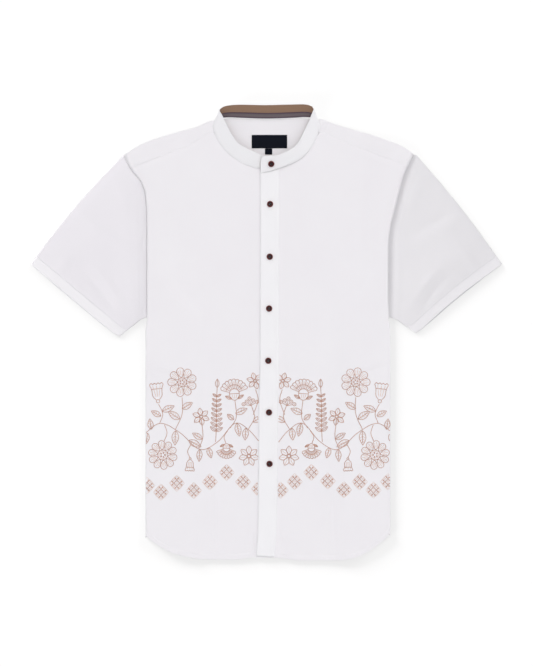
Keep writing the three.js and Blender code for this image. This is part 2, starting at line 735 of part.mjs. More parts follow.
// Placket: a strip over the meeting of the fronts, a little thicker inside its edges
function placketGeometry() {
  const width = PLACKET[PLACKET.length - 1].width;
  const shares = [0, PLACKET_EDGE / width, 0.5, 1 - PLACKET_EDGE / width, 1];
  const middle = layerMid(2) - CLOTH / 2 + PLACKET_WALL / 2;
  const point = (i, j) => {
    const share = shares[j];
    const low = lerp(PLACKET_FOOT.left, PLACKET_FOOT.right, share);
    const high = lerp(PLACKET_TOP.left, PLACKET_TOP.right, share);
    const y = lerp(low, high, i / (PLACKET_ROWS - 1));
    return [placketLeft(y) + placketWidth(y) * share, y, middle];
  };
  const bare = PLACKET_WALL / 2;
  return wall({
    rows: PLACKET_ROWS,
    columns: shares.length,
    point,
    thick: (i, j) => [j === 0 || j === shares.length - 1 ? bare - PLACKET_THINNING : bare, bare],
  });
}

// Collar band: straight lines from its seam edge to its top edge, along the stations
const collarCurves = {
  seam: new THREE.CatmullRomCurve3(
    COLLAR.map((row) => new THREE.Vector3(row.seamX, row.seamY, row.seamZ)),
    false,
    'centripetal',
  ),
  top: new THREE.CatmullRomCurve3(
    COLLAR.map((row) => new THREE.Vector3(row.topX, row.topY, row.topZ)),
    false,
    'centripetal',
  ),
};

function collarPoint(t, w) {
  return collarCurves.seam.getPoint(t).lerp(collarCurves.top.getPoint(t), w);
}

function collarNormal(t, w) {
  const ahead = collarPoint(Math.min(t + ALONG_STEP, 1), w);
  const along = ahead.sub(collarPoint(Math.max(t - ALONG_STEP, 0), w));
  const up = collarPoint(t, Math.min(w + UP_STEP, 1)).sub(collarPoint(t, Math.max(w - UP_STEP, 0)));
  return up.cross(along).normalize();
}

// One layer of the band, moved inward by `depth`, between two heights of the band
function collarLayer({ from, to, steps, high, depth, low, top }) {
  const point = (i, j) => {
    const t = lerp(from, to, i / steps);
    const w = lerp(low(t), top(t), j / high);
    return collarPoint(t, w).addScaledVector(collarNormal(t, w), -depth).toArray();
  };
  return wall({ rows: steps + 1, columns: high + 1, point });
}

// The top edge drops round a quarter circle at the end that shows
function roundedTop(t) {
  const toEnd = (1 - t) * (COLLAR.length - 1) * STATION_LENGTH;
  if (toEnd >= TAB_RADIUS) return 1;
  const drop = TAB_RADIUS - Math.sqrt(TAB_RADIUS ** 2 - (TAB_RADIUS - toEnd) ** 2);
  return 1 - drop / BAND_HEIGHT;
}

// Button: a dished disc with a raised rim and four holes
async function buttonGeometry() {
  const wasm = await Module();
  wasm.setup();
  const solid = (geometry) => {
    const bare = geometry.clone();
    bare.deleteAttribute('normal');
    bare.deleteAttribute('uv');
    const merged = mergeVertices(bare, MERGE);
    return new wasm.Manifold(
      new wasm.Mesh({
        numProp: 3,
        vertProperties: new Float32Array(merged.getAttribute('position').array),
        triVerts: new Uint32Array(merged.index.array),
      }),
    );
  };
  const half = BUTTON_HEIGHT / 2;
  const profile = [
    new THREE.Vector2(0, -half),
    new THREE.Vector2(BUTTON_RADIUS - BUTTON_FOOT_BEVEL, -half),
    new THREE.Vector2(BUTTON_RADIUS, -half + BUTTON_FOOT_BEVEL),
    new THREE.Vector2(BUTTON_RADIUS, half - BUTTON_SIDE_BEVEL),
    new THREE.Vector2(BUTTON_RADIUS - BUTTON_TOP_BEVEL, half),
    new THREE.Vector2(BUTTON_RADIUS - BUTTON_RIM, half),
    new THREE.Vector2(BUTTON_RADIUS - BUTTON_RIM - BUTTON_DISH_SLOPE, half - BUTTON_DISH),
    new THREE.Vector2(0, half - BUTTON_DISH),
  ];
  const disc = new THREE.LatheGeometry(profile, BUTTON_FACETS).rotateX(Math.PI / 2);
  let body = solid(disc);
  [-1, 1].forEach((sx) => {
    [-1, 1].forEach((sy) => {
      const length = BUTTON_HEIGHT * 2;
      const drill = new THREE.CylinderGeometry(HOLE_RADIUS, HOLE_RADIUS, length, HOLE_FACETS);
      drill.rotateX(Math.PI / 2).translate(sx * HOLE_PITCH, sy * HOLE_PITCH, 0);
      body = body.subtract(solid(drill));
    });
  });
  const cut = body.getMesh();
  const geometry = new THREE.BufferGeometry();
  geometry.setAttribute('position', new THREE.Float32BufferAttribute(cut.vertProperties, 3));
  geometry.setIndex(Array.from(cut.triVerts));
  geometry.computeVertexNormals();
  return geometry;
}

// Flat woven piece lying on the inside of the back yoke
function patchGeometry({ left, right, low, high }) {
  return wall({
    rows: 2,
    columns: 2,
    point: (i, j) => [j ? right : left, i ? high : low, layerMid(1)],
  });
}

const shirt = new THREE.Group();
function add(name, geometry, finish) {
  const mesh = new THREE.Mesh(geometry, new THREE.MeshStandardMaterial(finish));
  mesh.name = name;
  shirt.add(mesh);
  return mesh;
}

add('back_panel', backGeometry(), FINISH.shirting);
add('yoke', yokeGeometry(), FINISH.shirting);
add('front_left', frontGeometry(-1), FINISH.shirting);
add('front_right', frontGeometry(1), FINISH.shirting);
add('front_placket', placketGeometry(), FINISH.shirting);
Object.entries(SLEEVES).forEach(([name, shape]) => add(name, sleeveGeometry(shape), FINISH.shirting));

const stand = {
  from: 0,
  to: 1,
  steps: COLLAR_SWEEP,
  high: COLLAR_STEPS,
  depth: 0,
  low: () => 0,
  top: roundedTop,
};
add('collar_stand', collarLayer(stand), FINISH.shirting);
const facing = { ...stand, high: FACING_STEPS, depth: BAND_LAYER, low: () => FACING_START };
add('collar_facing', collarLayer(facing), FINISH.tanCloth);
const tape = {
  ...stand,
  from: TAPE_FROM,
  to: TAPE_TO,
  steps: TAPE_SWEEP,
  high: 1,
  depth: 2 * BAND_LAYER,
  low: () => TAPE_START,
  top: () => TAPE_TOP,
};
add('collar_tape', collarLayer(tape), FINISH.tape);

const disc = await buttonGeometry();
const placketTop = layerMid(2) - CLOTH / 2 + PLACKET_WALL;
BUTTONS.forEach(({ x, y }, n) => {
  const button = add(`button_${n + 1}`, disc, FINISH.button);
  if (n > 0) {
    button.position.set(x, y, placketTop + GAP + BUTTON_HEIGHT / 2);
    return;
  }
  const t = 1 - COLLAR_BUTTON_BACK / (COLLAR.length - 1);
  const seamY = collarPoint(t, 0).y;
  const w = (y - seamY) / (collarPoint(t, 1).y - seamY);
  const normal = collarNormal(t, w);
  const out = CLOTH / 2 + GAP + BUTTON_HEIGHT / 2;
  button.position.copy(collarPoint(t, w).addScaledVector(normal, out));
  button.quaternion.setFromUnitVectors(new THREE.Vector3(0, 0, 1), normal);
});

add('neck_label', patchGeometry(NECK_LABEL), FINISH.label);
add('size_tab', patchGeometry(SIZE_TAB), FINISH.label);

export default shirt;
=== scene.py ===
"""Dresses a white short-sleeved shirt with a band collar that lies flat: cloth, seams, stitching and buttons."""

from __future__ import annotations

import logging
import math
from dataclasses import dataclass, field
from enum import Enum
from typing import Callable, Iterable

import bpy
import numpy as np
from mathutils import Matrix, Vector


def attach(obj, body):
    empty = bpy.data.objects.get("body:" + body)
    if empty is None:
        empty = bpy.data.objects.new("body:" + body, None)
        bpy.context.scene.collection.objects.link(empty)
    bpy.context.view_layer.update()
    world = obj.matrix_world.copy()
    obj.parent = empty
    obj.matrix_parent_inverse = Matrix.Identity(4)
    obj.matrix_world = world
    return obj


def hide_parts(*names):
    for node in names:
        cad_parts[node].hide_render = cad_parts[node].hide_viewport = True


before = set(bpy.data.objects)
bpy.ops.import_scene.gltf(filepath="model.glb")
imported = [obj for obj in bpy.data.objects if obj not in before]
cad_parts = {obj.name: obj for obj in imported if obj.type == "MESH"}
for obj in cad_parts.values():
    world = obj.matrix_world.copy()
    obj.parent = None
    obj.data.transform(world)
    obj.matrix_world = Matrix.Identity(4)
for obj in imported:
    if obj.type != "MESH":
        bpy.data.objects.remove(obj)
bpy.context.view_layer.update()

LOG = logging.getLogger("shirt")
MM = 0.001
ROOT = "root"
# Times that a place which depends on itself is worked out again.
ROUNDS = 8
# High and low bands in each unit of length of a wave texture at scale 1.
BANDS_PER_UNIT = 6.3
# Numbers of the colour sockets of a mix node: first colour, second colour, result.
MIX_FIRST, MIX_SECOND, MIX_RESULT = 6, 7, 2
Array = np.ndarray
Piece, Material = bpy.types.Object, bpy.types.Material
NodeTree, Node, Socket = bpy.types.NodeTree, bpy.types.Node, bpy.types.NodeSocket
Pair = tuple[float, float]
Triple = tuple[float, float, float]
Quad = tuple[float, float, float, float]
Pairs = tuple[Pair, ...]
Triples = tuple[Triple, ...]


class Side(Enum):
    """Half of the shirt as the picture shows it: LEFT is the wearer's right."""

    LEFT = -1
    RIGHT = 1


class Slot(Enum):
    """Material slots of the frame's record."""

    SHIRTING = "shirting"
    FACING = "facing_cloth"
    TAPE = "neck_tape"
    LABEL = "label_weave"
    BUTTON = "button_resin"
    THREAD = "embroidery_thread"


def linear(hex_colour: str) -> Quad:
    """Turns an sRGB hex colour into a linear one.

    Args:
        hex_colour: Six hex digits with a leading hash.

    Returns:
        Linear red, green, blue and an alpha of one.
    """
    channels = [int(hex_colour[n : n + 2], 16) / 255 for n in (1, 3, 5)]
    red, green, blue = (c / 12.92 if c <= 0.04045 else ((c + 0.055) / 1.055) ** 2.4 for c in channels)
    return red, green, blue, 1.0


def smoothstep(value: Array | float, low: float, high: float) -> Array:
    """Runs from 0 at low to 1 at high, level at both ends."""
    t = np.clip((np.asarray(value, float) - low) / (high - low), 0, 1)
    return t * t * (3 - 2 * t)


def mix(a: Array | float, b: Array | float, share: Array | float) -> Array:
    """Blends from a to b."""
    return np.asarray(a) * (1 - np.asarray(share)) + np.asarray(b) * share


@dataclass(frozen=True)
class Course:
    """Smooth line through a few rows of (place, value), with no overshoot between them."""

    rows: Pairs

    def __call__(self, place: Array | float) -> Array:
        """Reads the line.

        Args:
            place: One or many places along the line.

        Returns:
            The value at each place.
        """
        x, y = np.array(self.rows, float).T
        rise = np.diff(y) / np.diff(x)
        before, after = np.r_[rise[0], rise], np.r_[rise, rise[-1]]
        both = before * after
        lean = np.where(both > 0, 2 * both / np.where(both > 0, before + after, 1), 0)
        at = np.clip(place, x[0], x[-1])
        n = np.clip(np.searchsorted(x, at, side="right") - 1, 0, len(x) - 2)
        span = x[n + 1] - x[n]
        t = (at - x[n]) / span
        start = y[n] * (1 + 2 * t) + lean[n] * span * t
        end = y[n + 1] * (3 - 2 * t) - lean[n + 1] * span * (1 - t)
        return start * (1 - t) ** 2 + end * t**2


def smooth_through(values: Array, place: Array) -> Array:
    """Reads a smooth curve through evenly spaced values."""
    slope = np.gradient(values)
    n = np.clip(np.floor(place).astype(int), 0, len(values) - 2)
    s = place - n
    start = values[n] * (1 + 2 * s) + slope[n] * s
    end = values[n + 1] * (3 - 2 * s) - slope[n + 1] * (1 - s)
    return start * (1 - s) ** 2 + end * s**2


@dataclass(frozen=True)
class Crease:
    """Soft trough or ridge: its middle, direction in degrees, half length, half width and height in mm."""

    x: float
    y: float
    turn: float
    reach: float
    width: float
    height: float
    bow: float = 0.0

    def __call__(self, x: Array, y: Array) -> Array:
        """Reads the height of the crease at points of the cloth."""
        c, s = math.cos(math.radians(self.turn)), math.sin(math.radians(self.turn))
        along = (x - self.x) * c + (y - self.y) * s
        across = (y - self.y) * c - (x - self.x) * s - self.bow * (along / self.reach) ** 2
        fade = np.clip(1 - (along / self.reach) ** 2, 0, 1) ** 1.5
        return self.height * fade * np.exp(-((across / self.width) ** 2))


def creased(creases: Iterable[Crease], x: Array, y: Array) -> Array:
    """Adds up creases at points of the cloth."""
    total = np.zeros(np.broadcast(x, y).shape)
    for crease in creases:
        total = total + crease(x, y)
    return total


@dataclass(frozen=True)
class ShirtPlan:
    """Sizes of the shirt in mm and the outlines that all its pieces share."""

    wall: float = 1.0
    gap: float = 0.3
    shell: float = 0.62
    side_flap: float = 64.0
    flap_top: float = 20.0
    back_seam: float = 255.0
    edge_left: float = -197.2
    edge_right: float = 200.6
    flare_power: int = 8
    neck_half: float = 86.0
    neck_side: float = 90.0
    lift_run: float = 28.0
    lift_margin: float = 5.0
    arm_inset: float = 15.0
    arm_level: float = 95.0
    hem_depth: float = 7.5
    cuff_depth: float = 17.0
    placket_cover: float = 23.0
    side_left: Course = Course(
        (
            (-420, -199.7), (0, -199.7), (27, -197.2), (193, -197.2), (227, -199.7), (248, -207), (268, -222.8),
            (290, -234), (302, -236),
        )
    )
    side_right: Course = Course(
        (
            (-420, 204.6), (0, 204.6), (28, 202), (65, 200.5), (141, 200.8), (172, 203.8), (199, 210.4), (234, 219.1),
            (258, 225.7), (278, 234.6), (294, 241.7), (304, 243.5),
        )
    )
    ridge_left: Course = Course(((10, -208), (200, -208.5), (230, -209.5), (250, -212.5), (268, -225.5), (292, -236)))
    ridge_right: Course = Course(
        (
            (10, 214.8), (54, 214.8), (150, 215.8), (177, 219.1), (221, 230.2), (245, 236.8), (263, 245.5),
            (276, 249.5), (296, 247),
        )
    )
    hem: Course = Course(
        (
            (-264, -287), (-230, -312), (-199.7, -335), (-178.5, -351), (-155, -363.7), (-131, -370),
            (-107.6, -373.9), (-52, -374.7), (-20.8, -371.6), (14, -371.6), (57, -376), (116, -376), (141, -373),
            (166, -362), (191.7, -343.5), (206.7, -328.4), (235, -303), (270, -280),
        )
    )
    shoulder: Course = Course(
        (
            (-236, 292), (-210, 308.4), (-178.5, 321.1), (-147, 330.5), (-115.5, 339.2), (-89, 349.5), (89, 352),
            (106.8, 346), (140.4, 335.6), (174, 325.9), (207.7, 314.2), (229.7, 303.9), (244, 292.5),
        )
    )
    yoke_seam: Course = Course(
        (
            (-236, 264), (-210, 275.2), (-131.7, 306.4), (-121.8, 311.5), (-88, 330), (88, 328.5), (123.6, 315.8),
            (157.2, 302.3), (190.9, 288.9), (244, 271),
        )
    )
    front_neck: Course = Course(
        (
            (-88, 329.5), (-83, 326.5), (-75, 313.5), (-61.5, 297.5), (-40.5, 282.6), (-20, 275.3), (0, 271),
            (24, 274.5), (40.3, 280.9), (55.6, 289.5), (69.3, 303.6), (78, 318), (83, 325), (88, 328),
        )
    )
    back_neck: Course = Course(
        ((-90, 344), (-84, 345.5), (-76, 350.2), (-64, 352.9), (0, 351.3), (64, 353), (76, 350.6), (84, 347), (90, 346))
    )
    placket_left: Course = Course(((-370, -17.2), (-318, -13.7), (-200, -12.6), (-120, -12), (-60, -10.4), (272, -9.9)))
    placket_width: Course = Course(((-370, 29.6), (-318, 30.5), (-200, 31), (272, 31)))

    @property
    def layer(self) -> float:
        """Step from one layer of cloth to the next that lies on it."""
        return self.wall + self.gap

    def layer_mid(self, n: float) -> float:
        """Height of the middle of layer n over the table."""
        return self.wall / 2 + n * self.layer

    @property
    def turn(self) -> float:
        """Radius of the middle of the fronts where they fold under at the sides."""
        return 1.5 * self.layer

    @property
    def fold_z(self) -> float:
        """Height of the middle of the side folds."""
        return self.layer_mid(1.5)

    def edge(self, side: Side) -> float:
        """Place of a side edge where it is straight."""
        return self.edge_left if side is Side.LEFT else self.edge_right

    def side_at(self, side: Side, y: Array) -> Array:
        """Place of a side edge at height y of the body."""
        return (self.side_left if side is Side.LEFT else self.side_right)(y)

    def ridge_at(self, side: Side, y: Array) -> Array:
        """Place of the ridge of a sleeve beside the armhole valley."""
        return (self.ridge_left if side is Side.LEFT else self.ridge_right)(y)

    def flared(self, x: Array, y: Array) -> Array:
        """Moves points out with the flare of the armholes.

        Args:
            x: Places across the body where its sides are straight.
            y: Places along the body.

        Returns:
            The places across the body at y.
        """
        left = (np.minimum(x, 0) / self.edge_left) ** self.flare_power * (self.side_left(y) - self.edge_left)
        right = (np.maximum(x, 0) / self.edge_right) ** self.flare_power * (self.side_right(y) - self.edge_right)
        return x + left + right

    def straight(self, x: Array, y: Array) -> Array:
        """Finds the place that flared() moves to x, by turns."""
        found = np.array(x, float)
        for _ in range(12):
            found = np.clip(found - (self.flared(found, y) - x), self.edge_left, self.edge_right)
        return found

    def lift(self, x: Array, y: Array) -> Array:
        """Lift of the body over the side flaps and the sleeve heads, for unflared places."""
        inset = mix(self.side_flap, self.arm_inset, smoothstep(y, self.flap_top, self.arm_level)) + self.lift_margin
        inward = np.where(x < 0, x - self.edge_left, self.edge_right - x)
        t = np.clip((inward - inset) / self.lift_run, 0, 1)
        return 2 * self.layer * (1 - t * t * (3 - 2 * t))

    def fold_x(self, side: Side, y: Array) -> Array:
        """Centre of the fold at a side of the body."""
        return self.side_at(side, y) - side.value * (self.turn + self.wall / 2)


PLAN = ShirtPlan()


def add_node(
    tree: NodeTree,
    kind: str,
    settings: dict[str, object] | None = None,
    links: dict[str | int, Socket] | None = None,
) -> Node:
    """Adds a node to a material.

    Args:
        tree: The material's node tree.
        kind: Blender's name of the node.
        settings: Properties, or input sockets by name, with their values.
        links: Input sockets by name or number, with the outputs that feed them.

    Returns:
        The new node.
    """
    node = tree.nodes.new(kind)
    for name, value in (settings or {}).items():
        if name in node.inputs:
            node.inputs[name].default_value = value
        else:
            setattr(node, name, value)
    for name, source in (links or {}).items():
        tree.links.new(source, node.inputs[name])
    return node


def new_material(
    name: str, values: dict[str, object] | None = None
) -> tuple[Material, NodeTree, Node]:
    """Makes a material with only its principled shader.

    Args:
        name: Name of the real material.
        values: Values of the shader that are the same all over.

    Returns:
        The material, its node tree and its shader node.
    """
    material = bpy.data.materials.new(name)
    material.use_nodes = True
    tree = material.node_tree
    tree.nodes.clear()
    shader = add_node(tree, "ShaderNodeBsdfPrincipled", values)
    add_node(tree, "ShaderNodeOutputMaterial", None, {"Surface": shader.outputs["BSDF"]})
    return material, tree, shader


def band_scale(pitch_mm: float) -> float:
    """Scale of a band texture whose high and low bands are each about pitch_mm wide."""
    return 1 / (pitch_mm * MM) / BANDS_PER_UNIT


def blend_colours(
    tree: NodeTree, share: Socket, first: str | Socket, second: str
) -> Socket:
    """Mixes two colours.

    Args:
        tree: The material's node tree.
        share: Output that is 0 for the first colour and 1 for the second.
        first: Hex colour, or an output that gives a colour.
        second: Hex colour.

    Returns:
        The output that gives the mixed colour.
    """
    node = add_node(tree, "ShaderNodeMix", {"data_type": "RGBA"}, {"Factor": share})
    node.inputs[MIX_SECOND].default_value = linear(second)
    if isinstance(first, str):
        node.inputs[MIX_FIRST].default_value = linear(first)
    else:
        tree.links.new(first, node.inputs[MIX_FIRST])
    return node.outputs[MIX_RESULT]


def add_relief(
    tree: NodeTree, shader: Node, height: Socket, strength: float, depth_mm: float
) -> None:
    """Gives a shader a fine relief.

    Args:
        tree: The material's node tree.
        shader: Its shader.
        height: Output that gives the height, from 0 to 1.
        strength: Strength of the relief.
        depth_mm: Height of its peaks.
    """
    bump = add_node(tree, "ShaderNodeBump", {"Strength": strength, "Distance": depth_mm * MM}, {"Height": height})
    tree.links.new(bump.outputs["Normal"], shader.inputs["Normal"])


@dataclass(frozen=True)
class WovenCloth:
    """Plain-woven cotton: matt, with a fine grain of crossing threads and faint slubs."""

    name: str
    colour: str
    shade: str
    thread_mm: float = 0.9
    relief: float = 0.16
    roughness: float = 0.82
    sheen: float = 0.12
    shine: float = 0.3
    turned: str = ""

    def make(self) -> Material:
        """Builds the material. Real threads are too fine for the picture, so they are drawn at thread_mm.

        Returns:
            The woven material. It shows the colour "turned" where a piece marks its hem as folded.
        """
        values = {
            "Roughness": self.roughness,
            "Sheen Weight": self.sheen,
            "Sheen Roughness": 0.5,
            "Specular IOR Level": self.shine,
        }
        material, tree, shader = new_material(self.name, values)
        place = add_node(tree, "ShaderNodeTexCoord").outputs["Object"]
        bands = {"wave_type": "BANDS", "Scale": band_scale(self.thread_mm), "Distortion": 0.7, "Detail": 1.0}
        warp, weft = (
            add_node(tree, "ShaderNodeTexWave", bands | {"bands_direction": axis}, {"Vector": place}).outputs["Fac"]
            for axis in ("X", "Y")
        )
        weave = add_node(tree, "ShaderNodeMath", {"operation": "MULTIPLY"}, {0: warp, 1: weft})
        slubs = {"Scale": 260.0, "Detail": 5.0, "Roughness": 0.6}
        slub = add_node(tree, "ShaderNodeTexNoise", slubs, {"Vector": place})
        clouds = {"Scale": 14.0, "Detail": 3.0, "Roughness": 0.5}
        cloud = add_node(tree, "ShaderNodeTexNoise", clouds, {"Vector": place})
        colour = blend_colours(tree, cloud.outputs["Fac"], self.shade, self.colour)
        if self.turned:
            hem = add_node(tree, "ShaderNodeAttribute", {"attribute_name": "turned"})
            colour = blend_colours(tree, hem.outputs["Fac"], colour, self.turned)
        tree.links.new(colour, shader.inputs["Base Color"])
        height = add_node(tree, "ShaderNodeMath", {"operation": "ADD"}, {0: weave.outputs[0], 1: slub.outputs["Fac"]})
        add_relief(tree, shader, height.outputs[0], self.relief, 0.4)
        return material


@dataclass(frozen=True)
class TwillTape:
    """Woven neck tape: purple grey, with fine slanting ribs and darker selvedges along both edges."""

    name: str = "woven cotton tape"
    colour: str = "#645A5D"
    edge_colour: str = "#4B3A48"
    stops: tuple[float, ...] = (0.16, 0.24, 0.74, 0.82)
    rib_mm: float = 0.8

    def make(self) -> Material:
        """Builds the material. It reads the tape's own length and width from its UV map.

        Returns:
            The tape's material.
        """
        material, tree, shader = new_material(self.name, {"Roughness": 0.8, "Sheen Weight": 0.1})
        uv = add_node(tree, "ShaderNodeUVMap", {"uv_map": "cut"}).outputs["UV"]
        split = add_node(tree, "ShaderNodeSeparateXYZ", None, {0: uv})
        ramp = add_node(tree, "ShaderNodeValToRGB", None, {0: split.outputs["Y"]})
        stops = ramp.color_ramp.elements
        for stop in stops:
            stop.color = linear(self.edge_colour)
        for position, colour in zip(self.stops, (self.edge_colour, self.colour, self.colour, self.edge_colour)):
            stops.new(position).color = linear(colour)
        tree.links.new(ramp.outputs["Color"], shader.inputs["Base Color"])
        place = add_node(tree, "ShaderNodeTexCoord").outputs["Object"]
        bands = {
            "wave_type": "BANDS",
            "bands_direction": "DIAGONAL",
            "Scale": band_scale(self.rib_mm),
            "Distortion": 0.5,
        }
        rib = add_node(tree, "ShaderNodeTexWave", bands, {"Vector": place})
        add_relief(tree, shader, rib.outputs["Fac"], 0.3, 0.4)
        return material


@dataclass(frozen=True)
class SpunThread:
    """Polyester sewing thread: a soft sheen that changes a little along its length."""

    name: str
    colour: str
    shade: str
    roughness: float = 0.5
    sheen: float = 0.25

    def make(self) -> Material:
        """Builds the material.

        Returns:
            The thread's material, with its tone changing every few centimetres.
        """
        values = {"Roughness": self.roughness, "Sheen Weight": self.sheen}
        material, tree, shader = new_material(self.name, values)
        place = add_node(tree, "ShaderNodeTexCoord").outputs["Object"]
        tone = add_node(tree, "ShaderNodeTexNoise", {"Scale": 60.0, "Detail": 3.0}, {"Vector": place})
        colour = blend_colours(tree, tone.outputs["Fac"], self.shade, self.colour)
        tree.links.new(colour, shader.inputs["Base Color"])
        fibre = add_node(tree, "ShaderNodeTexNoise", {"Scale": 2500.0, "Detail": 2.0}, {"Vector": place})
        add_relief(tree, shader, fibre.outputs["Fac"], 0.2, 0.2)
        return material


@dataclass(frozen=True)
class CastResin:
    """Cast polyester button: polished, dark maroon with a blacker middle and faint swirls; its lighter maroon towards
    the rim is partly the resin's own tone and partly painted highlight on the rounded rim.
    """

    name: str = "cast polyester resin"
    # Rim colour: lighter maroon, partly the resin's own tone and partly painted highlight on the rounded rim.
    rim: str = "#6E2E29"
    middle: str = "#2A1215"
    stops: Pair = (0.55, 0.95)
    vein: float = 0.3

    def make(self) -> Material:
        """Builds the material. The button's UV map gives the distance from its centre.

        Returns:
            The resin's material.
        """
        values = {"Roughness": 0.34, "Specular IOR Level": 0.22, "Coat Weight": 0.1, "Coat Roughness": 0.1}
        material, tree, shader = new_material(self.name, values)
        uv = add_node(tree, "ShaderNodeUVMap", {"uv_map": "cut"}).outputs["UV"]
        split = add_node(tree, "ShaderNodeSeparateXYZ", None, {0: uv})
        place = add_node(tree, "ShaderNodeTexCoord").outputs["Object"]
        swirls = {"Scale": 420.0, "Detail": 4.0, "Distortion": 1.6}
        swirl = add_node(tree, "ShaderNodeTexNoise", swirls, {"Vector": place})
        vein = add_node(tree, "ShaderNodeMath", {"operation": "MULTIPLY_ADD"}, {0: swirl.outputs["Fac"]})
        vein.inputs[1].default_value = self.vein
        vein.inputs[2].default_value = -self.vein / 2
        spread = add_node(tree, "ShaderNodeMath", {"operation": "ADD"}, {0: split.outputs["X"], 1: vein.outputs[0]})
        ramp = add_node(tree, "ShaderNodeValToRGB", None, {0: spread.outputs[0]})
        for stop, position, colour in zip(ramp.color_ramp.elements, self.stops, (self.middle, self.rim)):
            stop.position, stop.color = position, linear(colour)
        tree.links.new(ramp.outputs["Color"], shader.inputs["Base Color"])
        return material


def make_object(
    name: str, points: Array, faces: Array | list, material: Material, uv: Array | None = None
) -> Piece:
    """Makes a smooth mesh object from points in mm.

    Args:
        name: Name of the object and its mesh.
        points: One row of x, y, z for each vertex, in mm.
        faces: Rows of vertex numbers.
        material: Material of all its faces.
        uv: One row of u, v for each vertex, if the material reads them.

    Returns:
        The new object, at the origin.
    """
    mesh = bpy.data.meshes.new(name)
    rows = faces.tolist() if isinstance(faces, np.ndarray) else faces
    mesh.from_pydata((np.asarray(points, float) * MM).tolist(), [], rows)
    mesh.polygons.foreach_set("use_smooth", [True] * len(mesh.polygons))
    if uv is not None:
        layer = mesh.uv_layers.new(name="cut")
        corners = np.empty(len(mesh.loops), int)
        mesh.loops.foreach_get("vertex_index", corners)
        layer.data.foreach_set("uv", np.asarray(uv, float)[corners].ravel())
    mesh.materials.append(material)
    mesh.update()
    piece = bpy.data.objects.new(name, mesh)
    bpy.context.scene.collection.objects.link(piece)
    return piece


@dataclass
class ClothGrid:
    """Wall of cloth on a grid of points on its middle surface, all in mm."""

    middle: Array
    outer: Array | float
    inner: Array | float
    keep: Array | None = None
    ring: bool = False

    def cells(self) -> Array:
        """Says which cells of the grid hold cloth."""
        rows, columns = self.middle.shape[:2]
        shape = (rows - 1, columns if self.ring else columns - 1)
        return np.ones(shape, bool) if self.keep is None else self.keep

    def _corners(self) -> tuple[Array, Array, Array, Array]:
        """Gives the four corner points of each cell."""
        m = np.concatenate([self.middle, self.middle[:, :1]], axis=1) if self.ring else self.middle
        return m[:-1, :-1], m[:-1, 1:], m[1:, 1:], m[1:, :-1]

    def area_m2(self) -> float:
        """Flat area of the cloth in square metres."""
        a, b, c, d = self._corners()
        halves = np.linalg.norm(np.cross(c - a, d - b), axis=2) / 2
        return float((halves * self.cells()).sum()) * MM * MM

    def normals(self) -> Array:
        """Unit normals at the grid's points, towards the outer side."""
        a, b, c, d = self._corners()
        across = np.cross(c - a, d - b)
        across /= np.maximum(np.linalg.norm(across, axis=2, keepdims=True), 1e-12)
        across *= self.cells()[..., None]
        rows, columns = self.middle.shape[:2]
        total = np.zeros((rows, columns + (1 if self.ring else 0), 3))
        total[:-1, :-1] += across
        total[:-1, 1:] += across
        total[1:, 1:] += across
        total[1:, :-1] += across
        if self.ring:
            total[:, 0] += total[:, -1]
            total = total[:, :-1]
        return total / np.maximum(np.linalg.norm(total, axis=2, keepdims=True), 1e-12)

    def build(self, name: str, material: Material) -> Piece:
        """Makes the closed wall.

        Args:
            name: Name of the piece.
            material: Its material.

        Returns:
            The piece.
        """
        rows, columns = self.middle.shape[:2]
        normals = self.normals()
        outer = self.middle + normals * np.broadcast_to(self.outer, (rows, columns))[..., None]
        inner = self.middle - normals * np.broadcast_to(self.inner, (rows, columns))[..., None]
        count = rows * columns
        index = np.arange(count).reshape(rows, columns)
        if self.ring:
            index = np.concatenate([index, index[:, :1]], axis=1)
        kept = self.cells()
        a, b, c, d = index[:-1, :-1], index[:-1, 1:], index[1:, 1:], index[1:, :-1]
        faces = [np.stack([a, b, c, d], -1)[kept], np.stack([a, d, c, b], -1)[kept] + count]
        around = np.pad(kept, 1)
        if self.ring:
            around[1:-1, 0], around[1:-1, -1] = kept[:, -1], kept[:, 0]
        beside = (around[:-2, 1:-1], around[1:-1, 2:], around[2:, 1:-1], around[1:-1, :-2])
        for (p, q), joined in zip(((a, b), (b, c), (c, d), (d, a)), beside):
            rim = kept & ~joined
            faces.append(np.stack([q, p, p + count, q + count], -1)[rim])
        quads = np.concatenate(faces)
        used = np.unique(quads)
        renumber = np.zeros(2 * count, int)
        renumber[used] = np.arange(len(used))
        v, u = np.meshgrid(np.linspace(0, 1, rows), np.linspace(0, 1, columns), indexing="ij")
        uv = np.tile(np.stack([v.ravel(), u.ravel()], -1), (2, 1))
        points = np.concatenate([outer.reshape(-1, 3), inner.reshape(-1, 3)])
        return make_object(name, points[used], renumber[quads], material, uv[used])


def settle_piece(piece: Piece, slot: Slot, *nodes: str) -> Piece:
    """Fixes a piece to the shirt's body and says what it stands for.

    Args:
        piece: The piece.
        slot: Not used.
        nodes: Frame nodes that it replaces.

    Returns:
        The same piece.
    """
    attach(piece, ROOT)
    if nodes:
        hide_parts(*nodes)
    LOG.info("%s: %d faces, stands for %s", piece.name, len(piece.data.polygons), ", ".join(nodes) or "nothing")
    return piece


def lay_cloth(
    grid: ClothGrid, name: str, node: str, slot: Slot, material: Material, cut: Pair, held: str, *rests_on: str
) -> Piece:
    """Makes a piece of cloth, fixes it to the shirt and states its cut.

    Args:
        grid: The grid that it is made on, which gives its area.
        name: Name of the piece.
        node: Frame node that it replaces.
        slot: Not used; settle_piece takes it and leaves it unused.
        material: Its material.
        cut: Width and length in mm of the smallest rectangle that it is cut from.
        held: Not used.
        rests_on: Not used.

    Returns:
        The piece.
    """
    piece = settle_piece(grid.build(name, material), slot, node)
    width, length = cut[0] * MM, cut[1] * MM
    area = min(grid.area_m2(), width * length)
    LOG.info("%s: cut %.0f x %.0f mm, %.4f m2", piece.name, cut[0], cut[1], area)
    return piece


